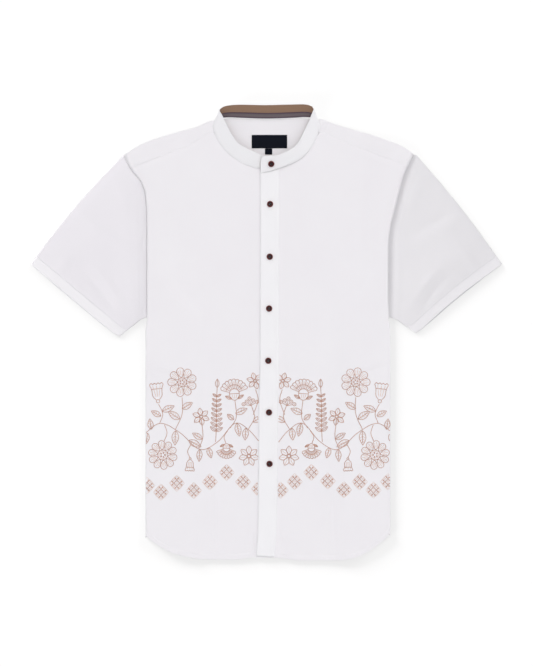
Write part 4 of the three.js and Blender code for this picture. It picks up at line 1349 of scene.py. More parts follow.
@dataclass(frozen=True)
class Collar:
    """Band collar: an outer stand, a tan facing inside it and a woven tape over the neck seam.

    The stations of seam and edge run from the end under the placket round the neck to the end on top, as
    x, y and height in mm. Widths along the band and across it are shares of its length and height.
    """

    seam: Triples = (
        (10, 272.6, 3.5), (-8, 271.6, 3.4), (-16, 270.6, 3.2), (-27, 274.3, 3.1), (-42, 280, 3.1),
        (-64, 295.8, 3.1), (-78.2, 313.2, 3.1), (-86.1, 330.5, 3.1), (-88, 341, 3.0), (-84.8, 349.6, 2.3),
        (-76, 353.6, 1.2), (-62, 354.6, 0.6), (-42, 353.6, 0.6), (0, 352.3, 0.6), (42, 353.6, 0.6),
        (62, 354.9, 0.6), (76, 354, 1.2), (84.6, 350, 2.3), (87.6, 341, 3.1), (85.5, 330, 3.2), (80.8, 317.5, 3.4),
        (71.8, 302.1, 3.7), (57.6, 287.1, 4.2), (41.7, 278.4, 4.8), (23.6, 271.3, 5.6), (7, 266.2, 6),
        (-10, 262.3, 6),
    )
    edge: Triples = (
        (10, 290, 11.6), (-6, 291.2, 12.0), (-12, 293.6, 12.6), (-20.5, 297.8, 12.8), (-30, 302, 12.9),
        (-47, 312.3, 13), (-57.5, 327, 13), (-66.5, 344.5, 13), (-72.5, 356.5, 12.8), (-77.2, 366, 12.2),
        (-71, 371.4, 11.4), (-61, 373.9, 10.6), (-42, 375, 10.3), (0, 374.4, 10.2), (42, 375.4, 10.3),
        (61, 375.6, 10.6), (71.5, 373.6, 11.4), (77.4, 368.5, 12.2), (73.5, 357, 12.8), (66.8, 341.4, 13),
        (60.5, 328.6, 13.3), (53.5, 314.6, 13.7), (44, 304, 14.1), (31.5, 297.2, 14.6), (18, 291.6, 15.2),
        (5, 290.6, 15.6), (-10, 290.2, 15.6),
    )
    facing_start: float = 0.18
    tape_from: float = 0.385
    tape_to: float = 0.625
    tape_low: float = 0.06
    tape_high: float = 0.44
    tab_radius: float = 7.0
    tab_height: float = 25.0
    station_length: float = 17.0
    stitch_in: float = 0.075
    seam_drop: float = 0.75
    seam_least: float = 0.55
    front_drop: float = 2.2
    back_stations: Quad = (7, 10, 16, 19)
    end_folds: Pairs = ((0.372, 0.9), (0.383, -0.5), (0.641, 0.9), (0.63, -0.5))
    fold_run: float = 0.004
    sweep: int = 300
    edge_rows: tuple[float, ...] = (0, 0.02, 0.05, 0.075, 0.1, 0.14)
    middle_rows: int = 13
    stand_walls: Pair = (0.55, 0.42)
    rim_thinned: float = 0.25
    rim_run: float = 0.02
    stitch_groove: float = 0.2
    stitch_run: float = 0.022
    facing_depth: float = 0.92
    facing_below: float = 0.012
    facing_rows: int = 14
    facing_wall: float = 0.3
    tape_depth: float = 1.75
    tape_wall: float = 0.28
    tape_grid: tuple[int, int] = (90, 12)
    stand_cut: Pair = (430.0, 42.0)
    facing_cut: Pair = (420.0, 40.0)
    tape_cut: Pair = (165.0, 14.0)

    def point(self, t: Array, w: Array) -> Array:
        """Finds points of the band.

        Args:
            t: 0 at the end under the placket, 1 at the end on top.
            w: 0 at the neck seam, 1 at the top edge.

        Returns:
            Rows of x, y, z in mm.
        """
        t, w = np.broadcast_arrays(np.asarray(t, float), np.asarray(w, float))
        seam, edge = np.array(self.seam), np.array(self.edge)
        seam[:, 2] = np.maximum(seam[:, 2] - self.seam_drop, self.seam_least)
        stations = np.arange(len(edge))
        left_end, left_back, right_back, right_end = self.back_stations
        front = 1 - smoothstep(stations, left_end, left_back) + smoothstep(stations, right_back, right_end)
        edge[:, 2] -= self.front_drop * front
        places = np.clip(t, 0, 1) * (len(seam) - 1)
        low, high = (
            np.stack([smooth_through(table[:, n], places) for n in range(3)], -1) for table in (seam, edge)
        )
        return mix(low, high, w[..., None])

    def normal(self, t: Array, w: Array) -> Array:
        """Unit normals out of the band, away from the neck."""
        t, w = np.broadcast_arrays(np.asarray(t, float), np.asarray(w, float))
        along = self.point(np.minimum(t + 0.002, 1), w) - self.point(np.maximum(t - 0.002, 0), w)
        up = self.point(t, np.minimum(w + 0.1, 1)) - self.point(t, np.maximum(w - 0.1, 0))
        across = np.cross(up, along)
        return across / np.linalg.norm(across, axis=-1, keepdims=True)

    def top_share(self, t: Array) -> Array:
        """Height of the top edge: it drops round a quarter circle at the end that shows."""
        to_end = (1 - t) * (len(self.seam) - 1) * self.station_length
        inside = np.clip(self.tab_radius - to_end, 0, self.tab_radius)
        drop = self.tab_radius - np.sqrt(self.tab_radius**2 - inside**2)
        return 1 - drop / self.tab_height

    def _layer(self, t: Array, w: Array, depth: float, outer: Array | float, inner: Array | float) -> ClothGrid:
        """Grid of one layer of the band.

        Args:
            t: Places along it.
            w: Heights across it, one row for each place.
            depth: How far it lies inside the outer layer.
            outer: Wall on its outer side.
            inner: Wall on its inner side.

        Returns:
            The grid.
        """
        fold = sum(size * np.exp(-(((t - place) / self.fold_run) ** 2)) for place, size in self.end_folds)
        inward = depth + (fold[:, None] * w * (depth > 0))
        spots = self.point(t[:, None], w) - self.normal(t[:, None], w) * inward[..., None]
        return ClothGrid(spots, outer, inner)

    def make(
        self, cloth: Material, tan: Material, tape: Material
    ) -> list[Piece]:
        """Makes the three layers.

        Args:
            cloth: Shirting.
            tan: Cloth of the facing.
            tape: Woven tape.

        Returns:
            The stand, the facing and the tape.
        """
        t = np.linspace(0, 1, self.sweep)
        top = self.top_share(t)[:, None]
        edge_rows = np.array(self.edge_rows)
        across = np.r_[edge_rows, np.linspace(0.2, 0.8, self.middle_rows), 1 - edge_rows[::-1]]
        rim = np.minimum(across, 1 - across)
        outer_wall, inner_wall = self.stand_walls
        outer = outer_wall - self.rim_thinned * np.exp(-((rim / self.rim_run) ** 2))
        outer = outer - self.stitch_groove * np.exp(-(((rim - self.stitch_in) / self.stitch_run) ** 2))
        stand = self._layer(t, top * across, 0.0, outer[None, :], inner_wall)
        low = self.facing_start
        facing_w = low + (top - self.facing_below - low) * np.linspace(0, 1, self.facing_rows)
        facing = self._layer(t, facing_w, self.facing_depth, self.facing_wall, self.facing_wall)
        tape_t = np.linspace(self.tape_from, self.tape_to, self.tape_grid[0])
        tape_w = np.broadcast_to(np.linspace(self.tape_low, self.tape_high, self.tape_grid[1]), self.tape_grid)
        band = self._layer(tape_t, tape_w, self.tape_depth, self.tape_wall, self.tape_wall)
        under = ("yoke_cloth", "front_placket_cloth")
        layers = (
            (stand, "_cloth", "collar_stand", Slot.SHIRTING, cloth, self.stand_cut, *under),
            (facing, "_cloth", "collar_facing", Slot.FACING, tan, self.facing_cut, "collar_stand_cloth"),
            (band, "_weave", "collar_tape", Slot.TAPE, tape, self.tape_cut, "collar_facing_cloth"),
        )
        return [
            lay_cloth(grid, node + ending, node, slot, material, cut, "folded", *rests_on)
            for grid, ending, node, slot, material, cut, *rests_on in layers
        ]


COLLAR = Collar()


@dataclass(frozen=True)
class WovenPatch:
    """Label or tab of woven ribbon, left blank, lying on the inside of the back yoke."""

    name: str
    node: str
    left: float
    right: float
    low: float
    high: float
    middle_z: float = 1.42
    turned: float = 1.6
    shortest: float = 10.0
    grid: tuple[int, int] = (60, 26)
    walls: Pair = (0.24, 0.22)
    turned_raise: float = 0.12
    wave: float = 0.12

    def make(self, material: Material) -> Piece:
        """Makes the patch, a little thicker along its folded ends.

        Args:
            material: Label ribbon.

        Returns:
            The patch.
        """
        across, up = self.grid
        x, y = np.meshgrid(np.linspace(self.left, self.right, across), np.linspace(self.low, self.high, up))
        outer = self.walls[0] + self.turned_raise * (np.minimum(x - self.left, self.right - x) < self.turned)
        z = self.middle_z + self.wave * np.sin((x - self.left) / 7.3 + 0.6) * np.sin((y - self.low) / 6.1)
        grid = ClothGrid(np.stack([x, y, z], -1), outer, self.walls[1])
        cut = (self.right - self.left, max(self.high - self.low, self.shortest))
        return lay_cloth(grid, self.name, self.node, Slot.LABEL, material, cut, "laid", "yoke_cloth")


@dataclass(frozen=True)
class Buttons:
    """Seven dished buttons with four holes each: one on the collar and six on the placket.

    The rim is listed from the well outward and down to the back, as shares of the radius and the height.
    """

    places: Pairs = (
        (5.1, 277.7), (5.9, 211.5), (5.4, 124.7), (4.3, 39.3), (3.0, -46.7), (4.1, -131.8), (5.0, -216.6),
    )
    radius: float = 5.2
    height: float = 2.5
    hole_radius: float = 0.72
    hole_pitch: float = 1.25
    hole_depth: float = 0.45
    well_height: float = 0.6
    well_rings: int = 14
    around: int = 64
    first_spin: float = 8.0
    spin_step: float = 17.0
    collar_station: float = 1 - 1.1 / 26
    collar_lift: float = 0.85
    placket_lift: float = 0.25
    thread_height: float = 0.62
    thread_width: float = 0.42
    thread_rise: float = 0.4
    thread_apart: float = 0.22
    rim: Pairs = (
        (0.63, 0.62), (0.7, 0.86), (0.76, 0.98), (0.82, 1.0), (0.9, 0.96), (0.96, 0.82), (1.0, 0.6), (1.0, 0.4),
        (0.95, 0.16), (0.85, 0.02), (0.7, 0.0), (0.02, 0.0),
    )

    def disc(self) -> tuple[Array, list[tuple[int, ...]], Array]:
        """Makes the points, faces and map of one button that stands on the ground.

        Returns:
            Points in mm, faces, and the map, whose u is the distance from the centre.
        """
        well = [(r, self.well_height) for r in np.linspace(0.04, 0.5, self.well_rings)]
        share, level = np.array(well + list(self.rim)).T
        count, around = len(share), self.around
        angle = 2 * np.pi * np.arange(around) / around
        radius = share[:, None] * self.radius
        x, y = radius * np.cos(angle), radius * np.sin(angle)
        z = np.repeat(level[:, None] * self.height, around, axis=1)
        for sx in (-1, 1):
            for sy in (-1, 1):
                away = np.hypot(x - sx * self.hole_pitch, y - sy * self.hole_pitch)
                in_hole = (away < self.hole_radius) & (np.arange(count) < self.well_rings)[:, None]
                z -= in_hole * self.height * self.hole_depth
        index = np.arange(count * around).reshape(count, around)
        after = np.roll(index, -1, axis=1)
        sides = np.stack([index[:-1], index[1:], after[1:], after[:-1]], -1).reshape(-1, 4)
        faces = [tuple(face) for face in (*sides.tolist(), index[0].tolist(), index[-1][::-1].tolist())]
        u = np.repeat(share, around)
        return np.stack([x, y, z], -1).reshape(-1, 3), faces, np.stack([u, np.zeros_like(u)], -1)

    def seat(self, number: int) -> tuple[Array, Array]:
        """Finds where a button stands.

        Args:
            number: 0 for the collar button, then down the placket.

        Returns:
            Its centre on the cloth in mm, and the direction that it faces.
        """
        x, y = self.places[number]
        if number:
            ground = float(PLACKET.top(np.array(x), np.array(y)))
            return np.array([x, y, ground + self.placket_lift]), np.array([0, 0, 1.0])
        t = np.array(self.collar_station)
        seam, edge = COLLAR.point(t, np.array(0.0)), COLLAR.point(t, np.array(1.0))
        w = np.array((y - seam[1]) / (edge[1] - seam[1]))
        normal = COLLAR.normal(t, w)
        return COLLAR.point(t, w) + normal * self.collar_lift, normal

    def make(self, resin: Material, thread: Material) -> list[Piece]:
        """Makes the buttons and the thread that holds each of them.

        Args:
            resin: Material of the buttons.
            thread: Sewing thread.

        Returns:
            All the pieces.
        """
        points, faces, uv = self.disc()
        work = ThreadWork("button_thread", thread, Slot.THREAD)
        rise, pitch = self.height * self.thread_height, self.hole_pitch
        pieces = []
        for number in range(len(self.places)):
            centre, facing = self.seat(number)
            turn = Vector((0, 0, 1)).rotation_difference(Vector(facing.tolist())).to_matrix()
            spin = math.radians(self.first_spin + self.spin_step * number)
            c, s = math.cos(spin), math.sin(spin)
            matrix = np.array(turn) @ np.array([[c, -s, 0], [s, c, 0], [0, 0, 1]])
            button = make_object(f"button_{number + 1}_resin", points @ matrix.T + centre, faces, resin, uv)
            pieces.append(settle_piece(button, Slot.BUTTON, f"button_{number + 1}"))
            for sx in (-1, 1):
                holes = np.array([[sx * pitch, -pitch, rise], [sx * pitch, pitch, rise]]) @ matrix.T + centre
                for aside in (-self.thread_apart, self.thread_apart):
                    first, last = holes + [aside, 0, 0]
                    work.stitch(first, last, self.thread_width, self.thread_rise)
        return [*pieces, work.finish()]


def cut_into_stitches(line: Array, length: float, skip: float, shortest: float = 0.6) -> tuple[Array, Array]:
    """Divides a line into stitches.

    Args:
        line: Rows of points, in the plan or in space.
        length: Length of each stitch in mm.
        skip: Bare cloth between two stitches; below 0 they overlap.
        shortest: Length of a line that is too short to sew.

    Returns:
        The start and the end of each stitch.
    """
    reach = np.r_[0, np.cumsum(np.linalg.norm(np.diff(line, axis=0), axis=1))]
    if reach[-1] < shortest:
        return line[:0], line[:0]
    count = max(1, round(reach[-1] / (length + skip)))
    pitch = reach[-1] / count
    begin = pitch * np.arange(count) + skip / 2
    first, last = (
        np.stack([np.interp(place, reach, column) for column in line.T], -1) for place in (begin, begin + pitch - skip)
    )
    return first, last


@dataclass
class ThreadWork:
    """Stitches of one thread, joined into one mesh. Each is a rounded grain that stands up from the cloth."""

    name: str
    material: Material
    slot: Slot
    shoulders: Pair = (0.27, 0.73)
    sunk_end: float = 0.05
    sunk_side: float = 0.08
    starts: list[Array] = field(default_factory=list)
    ends: list[Array] = field(default_factory=list)
    widths: list[float] = field(default_factory=list)
    heights: list[float] = field(default_factory=list)

    def stitch(self, start: Array, end: Array, width: float, height: float) -> None:
        """Adds one stitch between two points on the cloth."""
        self.starts.append(np.asarray(start, float))
        self.ends.append(np.asarray(end, float))
        self.widths.append(width)
        self.heights.append(height)

    def row(
        self,
        line: Array,
        ground: Callable[[Array, Array], Array],
        width: float,
        height: float,
        length: float,
        skip: float,
    ) -> None:
        """Sews along a line on the cloth.

        Args:
            line: Points of x and y.
            ground: Height of the cloth.
            width: Width of each stitch.
            height: How far it stands up.
            length: Length of each stitch.
            skip: Bare cloth between two stitches; below 0 they overlap.
        """
        first, last = cut_into_stitches(line, length, skip)
        if not len(first):
            return
        low, high = ground(first[:, 0], first[:, 1]), ground(last[:, 0], last[:, 1])
        for a, b, za, zb in zip(first, last, low, high):
            if np.isfinite(za) and np.isfinite(zb):
                self.stitch(np.array([a[0], a[1], za]), np.array([b[0], b[1], zb]), width, height)

    def row_3d(self, line: Array, width: float, height: float, length: float, skip: float) -> None:
        """Sews along a line in space."""
        for first, last in zip(*cut_into_stitches(line, length, skip)):
            self.stitch(first, last, width, height)

    def finish(self) -> Piece:
        """Joins the stitches into one piece.

        Returns:
            The piece, with 8 corners and 8 faces a stitch.
        """
        a, b = np.array(self.starts), np.array(self.ends)
        width, height = np.array(self.widths)[:, None], np.array(self.heights)[:, None]
        along = (b - a) / np.maximum(np.linalg.norm(b - a, axis=1, keepdims=True), 1e-9)
        across = np.cross(np.array([0, 0, 1.0]), along)
        across /= np.maximum(np.linalg.norm(across, axis=1, keepdims=True), 1e-9)
        up = np.cross(along, across)
        points = [a - up * self.sunk_end, b - up * self.sunk_end]
        for share in self.shoulders:
            centre = mix(a, b, share)
            low = centre - up * self.sunk_side
            points += [low - across * width / 2, centre + up * height, low + across * width / 2]
        corners = np.stack(points, 1).reshape(-1, 3)
        pattern = [(0, 2, 3), (0, 3, 4), (1, 6, 5), (1, 7, 6), (2, 5, 6, 3), (3, 6, 7, 4), (0, 1, 5, 2), (0, 4, 7, 1)]
        faces = [tuple(8 * n + v for v in face) for n in range(len(a)) for face in pattern]
        return settle_piece(make_object(self.name, corners, faces, self.material), self.slot)


class Tone(Enum):
    """Strength of an embroidery line."""

    OUTLINE = "outline"
    HATCH = "hatch"


@dataclass(frozen=True)
class Line:
    """One line of embroidery: its points in mm and its tone."""

    points: Array
    tone: Tone = Tone.OUTLINE


Motif = list[Line]


def straight(*ends: Pair, tone: Tone = Tone.OUTLINE) -> Line:
    """Line of embroidery straight from point to point."""
    return Line(np.array(ends, float), tone)


def polar(radius: float, degrees: float) -> Pair:
    """Point at a distance from the origin, in a direction from the x axis."""
    return radius * math.cos(math.radians(degrees)), radius * math.sin(math.radians(degrees))


def placed(motif: Motif, x: float, y: float, turn: float = 0.0, size: float = 1.0) -> Motif:
    """Turns, scales and moves a motif.

    Args:
        motif: Lines round their own origin.
        x: New place of the origin.
        y: New place of the origin.
        turn: Degrees to the left.
        size: Scale.

    Returns:
        The moved lines.
    """
    c, s = math.cos(math.radians(turn)), math.sin(math.radians(turn))
    matrix = np.array([[c, s], [-s, c]]) * size
    return [Line(line.points @ matrix + [x, y], line.tone) for line in motif]


def arc(radius: float, start: float = 0.0, end: float = 360.0, x: float = 0.0, y: float = 0.0) -> Array:
    """Points of part of a circle, angles in degrees from the x axis."""
    angle = np.radians(np.linspace(start, end, max(8, int(abs(end - start) / 15))))
    return np.stack([x + radius * np.cos(angle), y + radius * np.sin(angle)], -1)


def bent(*knots: Pair) -> Array:
    """Points of a smooth line through a few knots."""
    table = np.array(knots, float)
    place = np.linspace(0, len(table) - 1, 14 * (len(table) - 1) + 1)
    return np.stack([smooth_through(table[:, 0], place), smooth_through(table[:, 1], place)], -1)


def oval(length: float, width: float, tip: float = 1.0, blunt: float = 0.0) -> tuple[Array, Array]:
    """Two edges of a leaf or petal that grows along +y from the origin.

    Args:
        length: From root to tip.
        width: At its widest.
        tip: Above 1, the widest place is nearer the root.
        blunt: 1 closes the tip with a round end, 0 with a point.

    Returns:
        The left and the right edge.
    """
    s = np.linspace(0, 1, 17)
    shape = np.sin(np.pi * s**tip) if not blunt else np.sin(np.pi / 2 * np.minimum(1, s * 1.5)) * np.sqrt(1 - s**6)
    half = width / 2 * shape
    return np.stack([-half, length * s], -1), np.stack([half, length * s], -1)


def leaf(length: float, width: float, ribs: int = 5, vein: float = 0.86) -> Motif:
    """Pointed leaf with a vein and slanting ribs."""
    left, right = oval(length, width, 0.85)
    lines = [Line(left), Line(right), straight((0, 0), (0, length * vein))]
    for n in range(1, ribs + 1):
        share = n / (ribs + 1.5)
        half = width / 2 * math.sin(math.pi * share**0.85) * 0.8
        for side in (-1, 1):
            lines.append(straight((0, length * share), (side * half, length * share + half * 0.9), tone=Tone.HATCH))
    return lines


def petal(length: float, width: float, hatch: int = 3, blunt: float = 1.0, root: float = 0.0) -> Motif:
    """Petal with hatch lines along it, from root mm out."""
    left, right = oval(length - root, width, 1.0, blunt)
    lines = [Line(left + [0, root]), Line(right + [0, root])]
    for n in range(hatch):
        across = 0.0 if hatch == 1 else (n / (hatch - 1) - 0.5) * 0.55
        low, high = root + (length - root) * 0.25, root + (length - root) * (0.86 - 0.5 * abs(across))
        lines.append(straight((across * width * 0.6, low), (across * width, high), tone=Tone.HATCH))
    return lines


def rosette(radius: float, petals: int = 9, heart: float = 0.3) -> Motif:
    """Round flower with blunt petals and a ringed heart with a grid of seeds."""
    lines: Motif = []
    inner = radius * heart
    width = 2 * math.pi * radius * 0.74 / petals
    for n in range(petals):
        lines += placed(petal(radius, width, 3, 1.0, inner), 0, 0, 360 * n / petals + 6)
    lines += [Line(arc(inner)), Line(arc(inner * 0.72), Tone.HATCH)]
    for n in range(5):
        lines += placed([Line(arc(inner * 0.16))], inner * 0.42 * math.cos(1.26 * n), inner * 0.42 * math.sin(1.26 * n))
    return lines


def star_flower(radius: float, petals: int = 6) -> Motif:
    """Flower with pointed petals, short sepals between them and a dot in the middle."""
    lines: Motif = []
    for n in range(petals):
        lines += placed(petal(radius, radius * 0.52, 1, 0.0, radius * 0.16), 0, 0, 360 * n / petals)
        lines += placed([straight((0, radius * 0.3), (0, radius * 0.66))], 0, 0, 360 * (n + 0.5) / petals)
    lines.append(Line(arc(radius * 0.16)))
    return lines


def fan_flower(radius: float) -> Motif:
    """Half-open flower like a fan: a toothed rim, ribs, and a scaled cup below."""
    lines: Motif = []
    spread = np.linspace(18, 162, 10)
    rim, tip, knee = 0.93 * radius, 1.04 * radius, 0.34 * radius
    for low, high in zip(spread[:-1], spread[1:]):
        mid = (low + high) / 2
        tooth = (
            (rim, low), (tip, (low + mid) / 2), (radius, mid), (0.98 * radius, (mid + high) / 2), (rim, high),
        )
        lines.append(straight(*(polar(*spot) for spot in tooth)))
    for n, angle in enumerate(spread):
        lines.append(straight(polar(knee, angle), polar(rim, angle)))
        if n < len(spread) - 1:
            lines.append(straight(polar(radius * 0.5, angle + 8), polar(radius * 0.85, angle + 8), tone=Tone.HATCH))
    lines += [Line(arc(radius * 0.62, 24, 156)), Line(arc(knee, 0, 180))]
    low, mid = radius * 0.28, radius * 0.46
    lines += [Line(bent((-knee, 0), (-low, -low), (0, -mid), (low, -low), (knee, 0))), straight((-knee, 0), (knee, 0))]
    for shift in (-0.16 * radius, 0.0, 0.16 * radius):
        lines.append(straight((shift, -0.06 * radius), (shift * 0.6, -knee), tone=Tone.HATCH))
    for side in (-1, 1):
        lines += placed(leaf(radius * 0.5, radius * 0.2, 2), side * radius * 0.2, -radius * 0.36, side * -62)
    return lines


def bell(length: float) -> Motif:
    """Hanging bell with a scalloped mouth, ribs and a small cap, growing along +y."""
    side = bent((0.1, 0), (0.3, 0.25), (0.34, 0.7), (0.46, 1)) * length
    lines = [Line(side), Line(side * [-1, 1])]
    mouth = np.linspace(-0.46, 0.46, 5)
    for low, high in zip(mouth[:-1], mouth[1:]):
        lines.append(Line(bent((low, 1), ((low + high) / 2, 1.12), (high, 1)) * length))
    for across in (-0.5 * length, 0.0, 0.5 * length):
        lines.append(straight((across * 0.2, 0.2 * length), (across * 0.5, 0.94 * length), tone=Tone.HATCH))
    lines.append(straight((-0.34 * length, 0.72 * length), (0.34 * length, 0.72 * length)))
    lines.append(Line(arc(0.12 * length, 0, 360, 0, -0.1 * length)))
    return lines


def feather(length: float, leaflets: int = 7, bow: float = 0.12) -> Motif:
    """Bowed stem with pairs of small leaves, growing along +y, with one leaf at its tip."""
    s = np.linspace(0, 1, 21)
    stem = np.stack([bow * length * np.sin(np.pi * s / 2) ** 2, length * s], -1)
    lines = [Line(stem)]
    for n in range(leaflets):
        share = 0.2 + 0.72 * n / leaflets
        x, y = np.interp(share, s, stem[:, 0]), np.interp(share, s, stem[:, 1])
        reach = length * 0.14 * (1.1 - 0.5 * share)
        for side in (-1, 1):
            lines += placed(leaf(reach, reach * 0.42, 0, 0.8), x, y, side * 56)
    lines += placed(leaf(length * 0.16, length * 0.07, 0), stem[-1, 0], stem[-1, 1], -bow * 90)
    return lines


def berries(count: int = 5, radius: float = 2.6) -> Motif:
    """Bunch of ringed berries on short stalks, growing along +y."""
    lines: Motif = []
    for n in range(count):
        reach = radius * (4.2 - 0.9 * (n % 2))
        x, y = polar(reach, 90 + (n - (count - 1) / 2) * 34)
        lines += [Line(arc(radius, 0, 360, x, y)), Line(arc(radius * 0.4, 0, 360, x, y), Tone.HATCH)]
        lines.append(straight((0, 0), (x * (1 - radius / reach), y * (1 - radius / reach))))
    return lines


def lozenge(across: float = 13.4, tall: float = 14.1) -> Motif:
    """Draws a diamond of close bars, crossed by four lines that close a small square in the middle.

    Args:
        across: Half its width in mm.
        tall: Half its height in mm.

    Returns:
        Its lines about its middle.
    """
    corners = np.array([[across, 0], [0, tall], [-across, 0], [0, -tall]])
    core, deepest, reach = 0.4, 4.4, 0.94
    lines: Motif = []
    for a, b in zip(corners, np.roll(corners, -1, axis=0)):
        side = np.linalg.norm(b - a)
        out = (a + b) / np.linalg.norm(a + b)
        for step in np.linspace(0.07, 0.93, 10):
            foot = mix(a, b, step)
            depth = min(deepest, side * min(step, 1 - step) - 0.6)
            lines.append(straight(foot - out * depth, foot + out * np.sin(np.pi * step), tone=Tone.HATCH))
        far, near = (1 + core) / 2 * reach, (1 - core) / 2 * reach
        lines.append(straight(a * far - b * near, b * far - a * near))
    for height in (-2.4, 0.0, 2.4):
        half = across * core - abs(height) - 1
        lines.append(straight((-half, height), (half, height), tone=Tone.HATCH))
    return lines


@dataclass(frozen=True)
class Border:
    """Embroidered border: a scrolling vine with flowers of several kinds above a zigzag of lozenges.

    The stems and flowers are those of the left half; the right half mirrors them about the placket.
    """

    mirror_x: float = 4.0
    outline_width: float = 1.55
    hatch_width: float = 1.15
    outline_height: float = 0.4
    hatch_height: float = 0.26
    edge_margin: float = 0.8
    placket_margin: float = 0.4
    outline_stitch: Pair = (2.4, -0.35)
    hatch_stitch: Pair = (2.6, -0.3)
    lozenges: Pairs = (
        (-196.7, -252.4), (-173.9, -263.3), (-147.8, -248.5), (-119.8, -260.7), (-93.4, -246.5), (-65.7, -231),
        (-38.6, -246.5), (-12.4, -257.9), (23.3, -260.2), (46.4, -246.2), (73.8, -230.7), (101.1, -245),
        (127.7, -259.4), (153.5, -246.3), (176.2, -259.9), (200.1, -246.3),
    )
    stems: tuple[Pairs, ...] = (
        (
            (-206, -172), (-176, -150), (-143, -165), (-110, -193), (-80, -180), (-52, -150), (-28, -162), (-8, -186),
        ),
        ((-176, -150), (-171, -134), (-178, -118)),
        ((-150, -160), (-139, -134), (-139, -107)),
        ((-112, -192), (-105, -172), (-108, -141)),
        ((-60, -158), (-50, -140), (-52, -112)),
        ((-30, -160), (-20, -140), (-25, -120)),
        ((-22, -136), (-14, -112), (-18, -94)),
        ((-168, -152), (-164, -166), (-169, -180)),
        ((-124, -184), (-130, -196), (-126, -207)),
        ((-64, -162), (-70, -172), (-67, -183)),
    )

    @staticmethod
    def blooms() -> list[tuple[Motif, float, float, float]]:
        """Lists the flowers and leaves of the left half: motif, place and degrees of turn."""
        return [
            (bell(25), -179, -111, 6),
            (leaf(22, 10, 3), -172, -130, -66),
            (leaf(18, 9, 3), -174, -138, 62),
            (rosette(24, 9), -139, -82, 4),
            (leaf(23, 11, 4), -143, -143, 56),
            (leaf(20, 10, 4), -139, -126, -58),
            (star_flower(14.5, 6), -108, -139, 10),
            (leaf(19, 9, 3), -106, -176, 58),
            (feather(90, 8, -0.04), -84, -181, -4),
            (fan_flower(24), -53, -101, 4),
            (leaf(21, 10, 3), -51, -134, -66),
            (leaf(14, 8, 3), -54, -144, 50),
            (berries(5, 2.9), -26, -121, 10),
            (star_flower(14, 6), -19, -80, 16),
            (leaf(19, 9, 3), -22, -148, -58),
            (rosette(24, 10, 0.34), -171, -202, 0),
            (leaf(24, 11, 4), -150, -162, 178),
            (leaf(23, 10.5, 4), -128, -178, -118),
            (bell(17), -126, -210, 178),
            (leaf(20, 9, 3), -110, -193, 176),
            (leaf(18, 9, 3), -96, -190, -164),
            (fan_flower(17), -66, -191, 178),
            (leaf(22, 10, 4), -49, -150, -168),
            (leaf(20, 10, 3), -34, -158, 176),
            (star_flower(17, 7), -29, -204, 0),
            (leaf(18, 9, 3), -190, -160, 8),
            (leaf(18, 8, 3), -196, -166, 172),
        ]

    def lines(self) -> Motif:
        """Draws the whole border: the left half of the vine, its mirror image, and the lozenges."""
        left = [Line(bent(*knots)) for knots in self.stems]
        for motif, x, y, turn in self.blooms():
            left += placed(motif, x, y, turn)
        right = [Line(line.points * [-1, 1] + [2 * self.mirror_x, 0], line.tone) for line in left]
        zigzag = [line for x, y in self.lozenges for line in placed(lozenge(), x, y)]
        return left + right + zigzag

    def ground(self, x: Array, y: Array) -> Array:
        """Height of the cloth under a stitch; not a number where no stitch goes."""
        z = BODY.top_of_front(x, y)
        left = PLAN.side_at(Side.LEFT, y) + self.edge_margin
        right = PLAN.side_at(Side.RIGHT, y) - self.edge_margin
        on_placket = (x > PLACKET.left(y) - self.placket_margin) & (x < PLACKET.right(y) + self.placket_margin)
        return np.where((x < left) | (x > right) | on_placket, np.nan, z)

    def make(self, outline: Material, hatch: Material) -> list[Piece]:
        """Sews the border.

        Args:
            outline: Thread of the outlines.
            hatch: Paler thread of the fillings.

        Returns:
            The outlines and the fillings.
        """
        strong = ThreadWork("embroidery_outlines", outline, Slot.THREAD)
        pale = ThreadWork("embroidery_fillings", hatch, Slot.THREAD)
        for line in self.lines():
            if line.tone is Tone.OUTLINE:
                strong.row(line.points, self.ground, self.outline_width, self.outline_height, *self.outline_stitch)
            else:
                pale.row(line.points, self.ground, self.hatch_width, self.hatch_height, *self.hatch_stitch)
        LOG.info("border: %d and %d stitches", len(strong.starts), len(pale.starts))
        return [strong.finish(), pale.finish()]


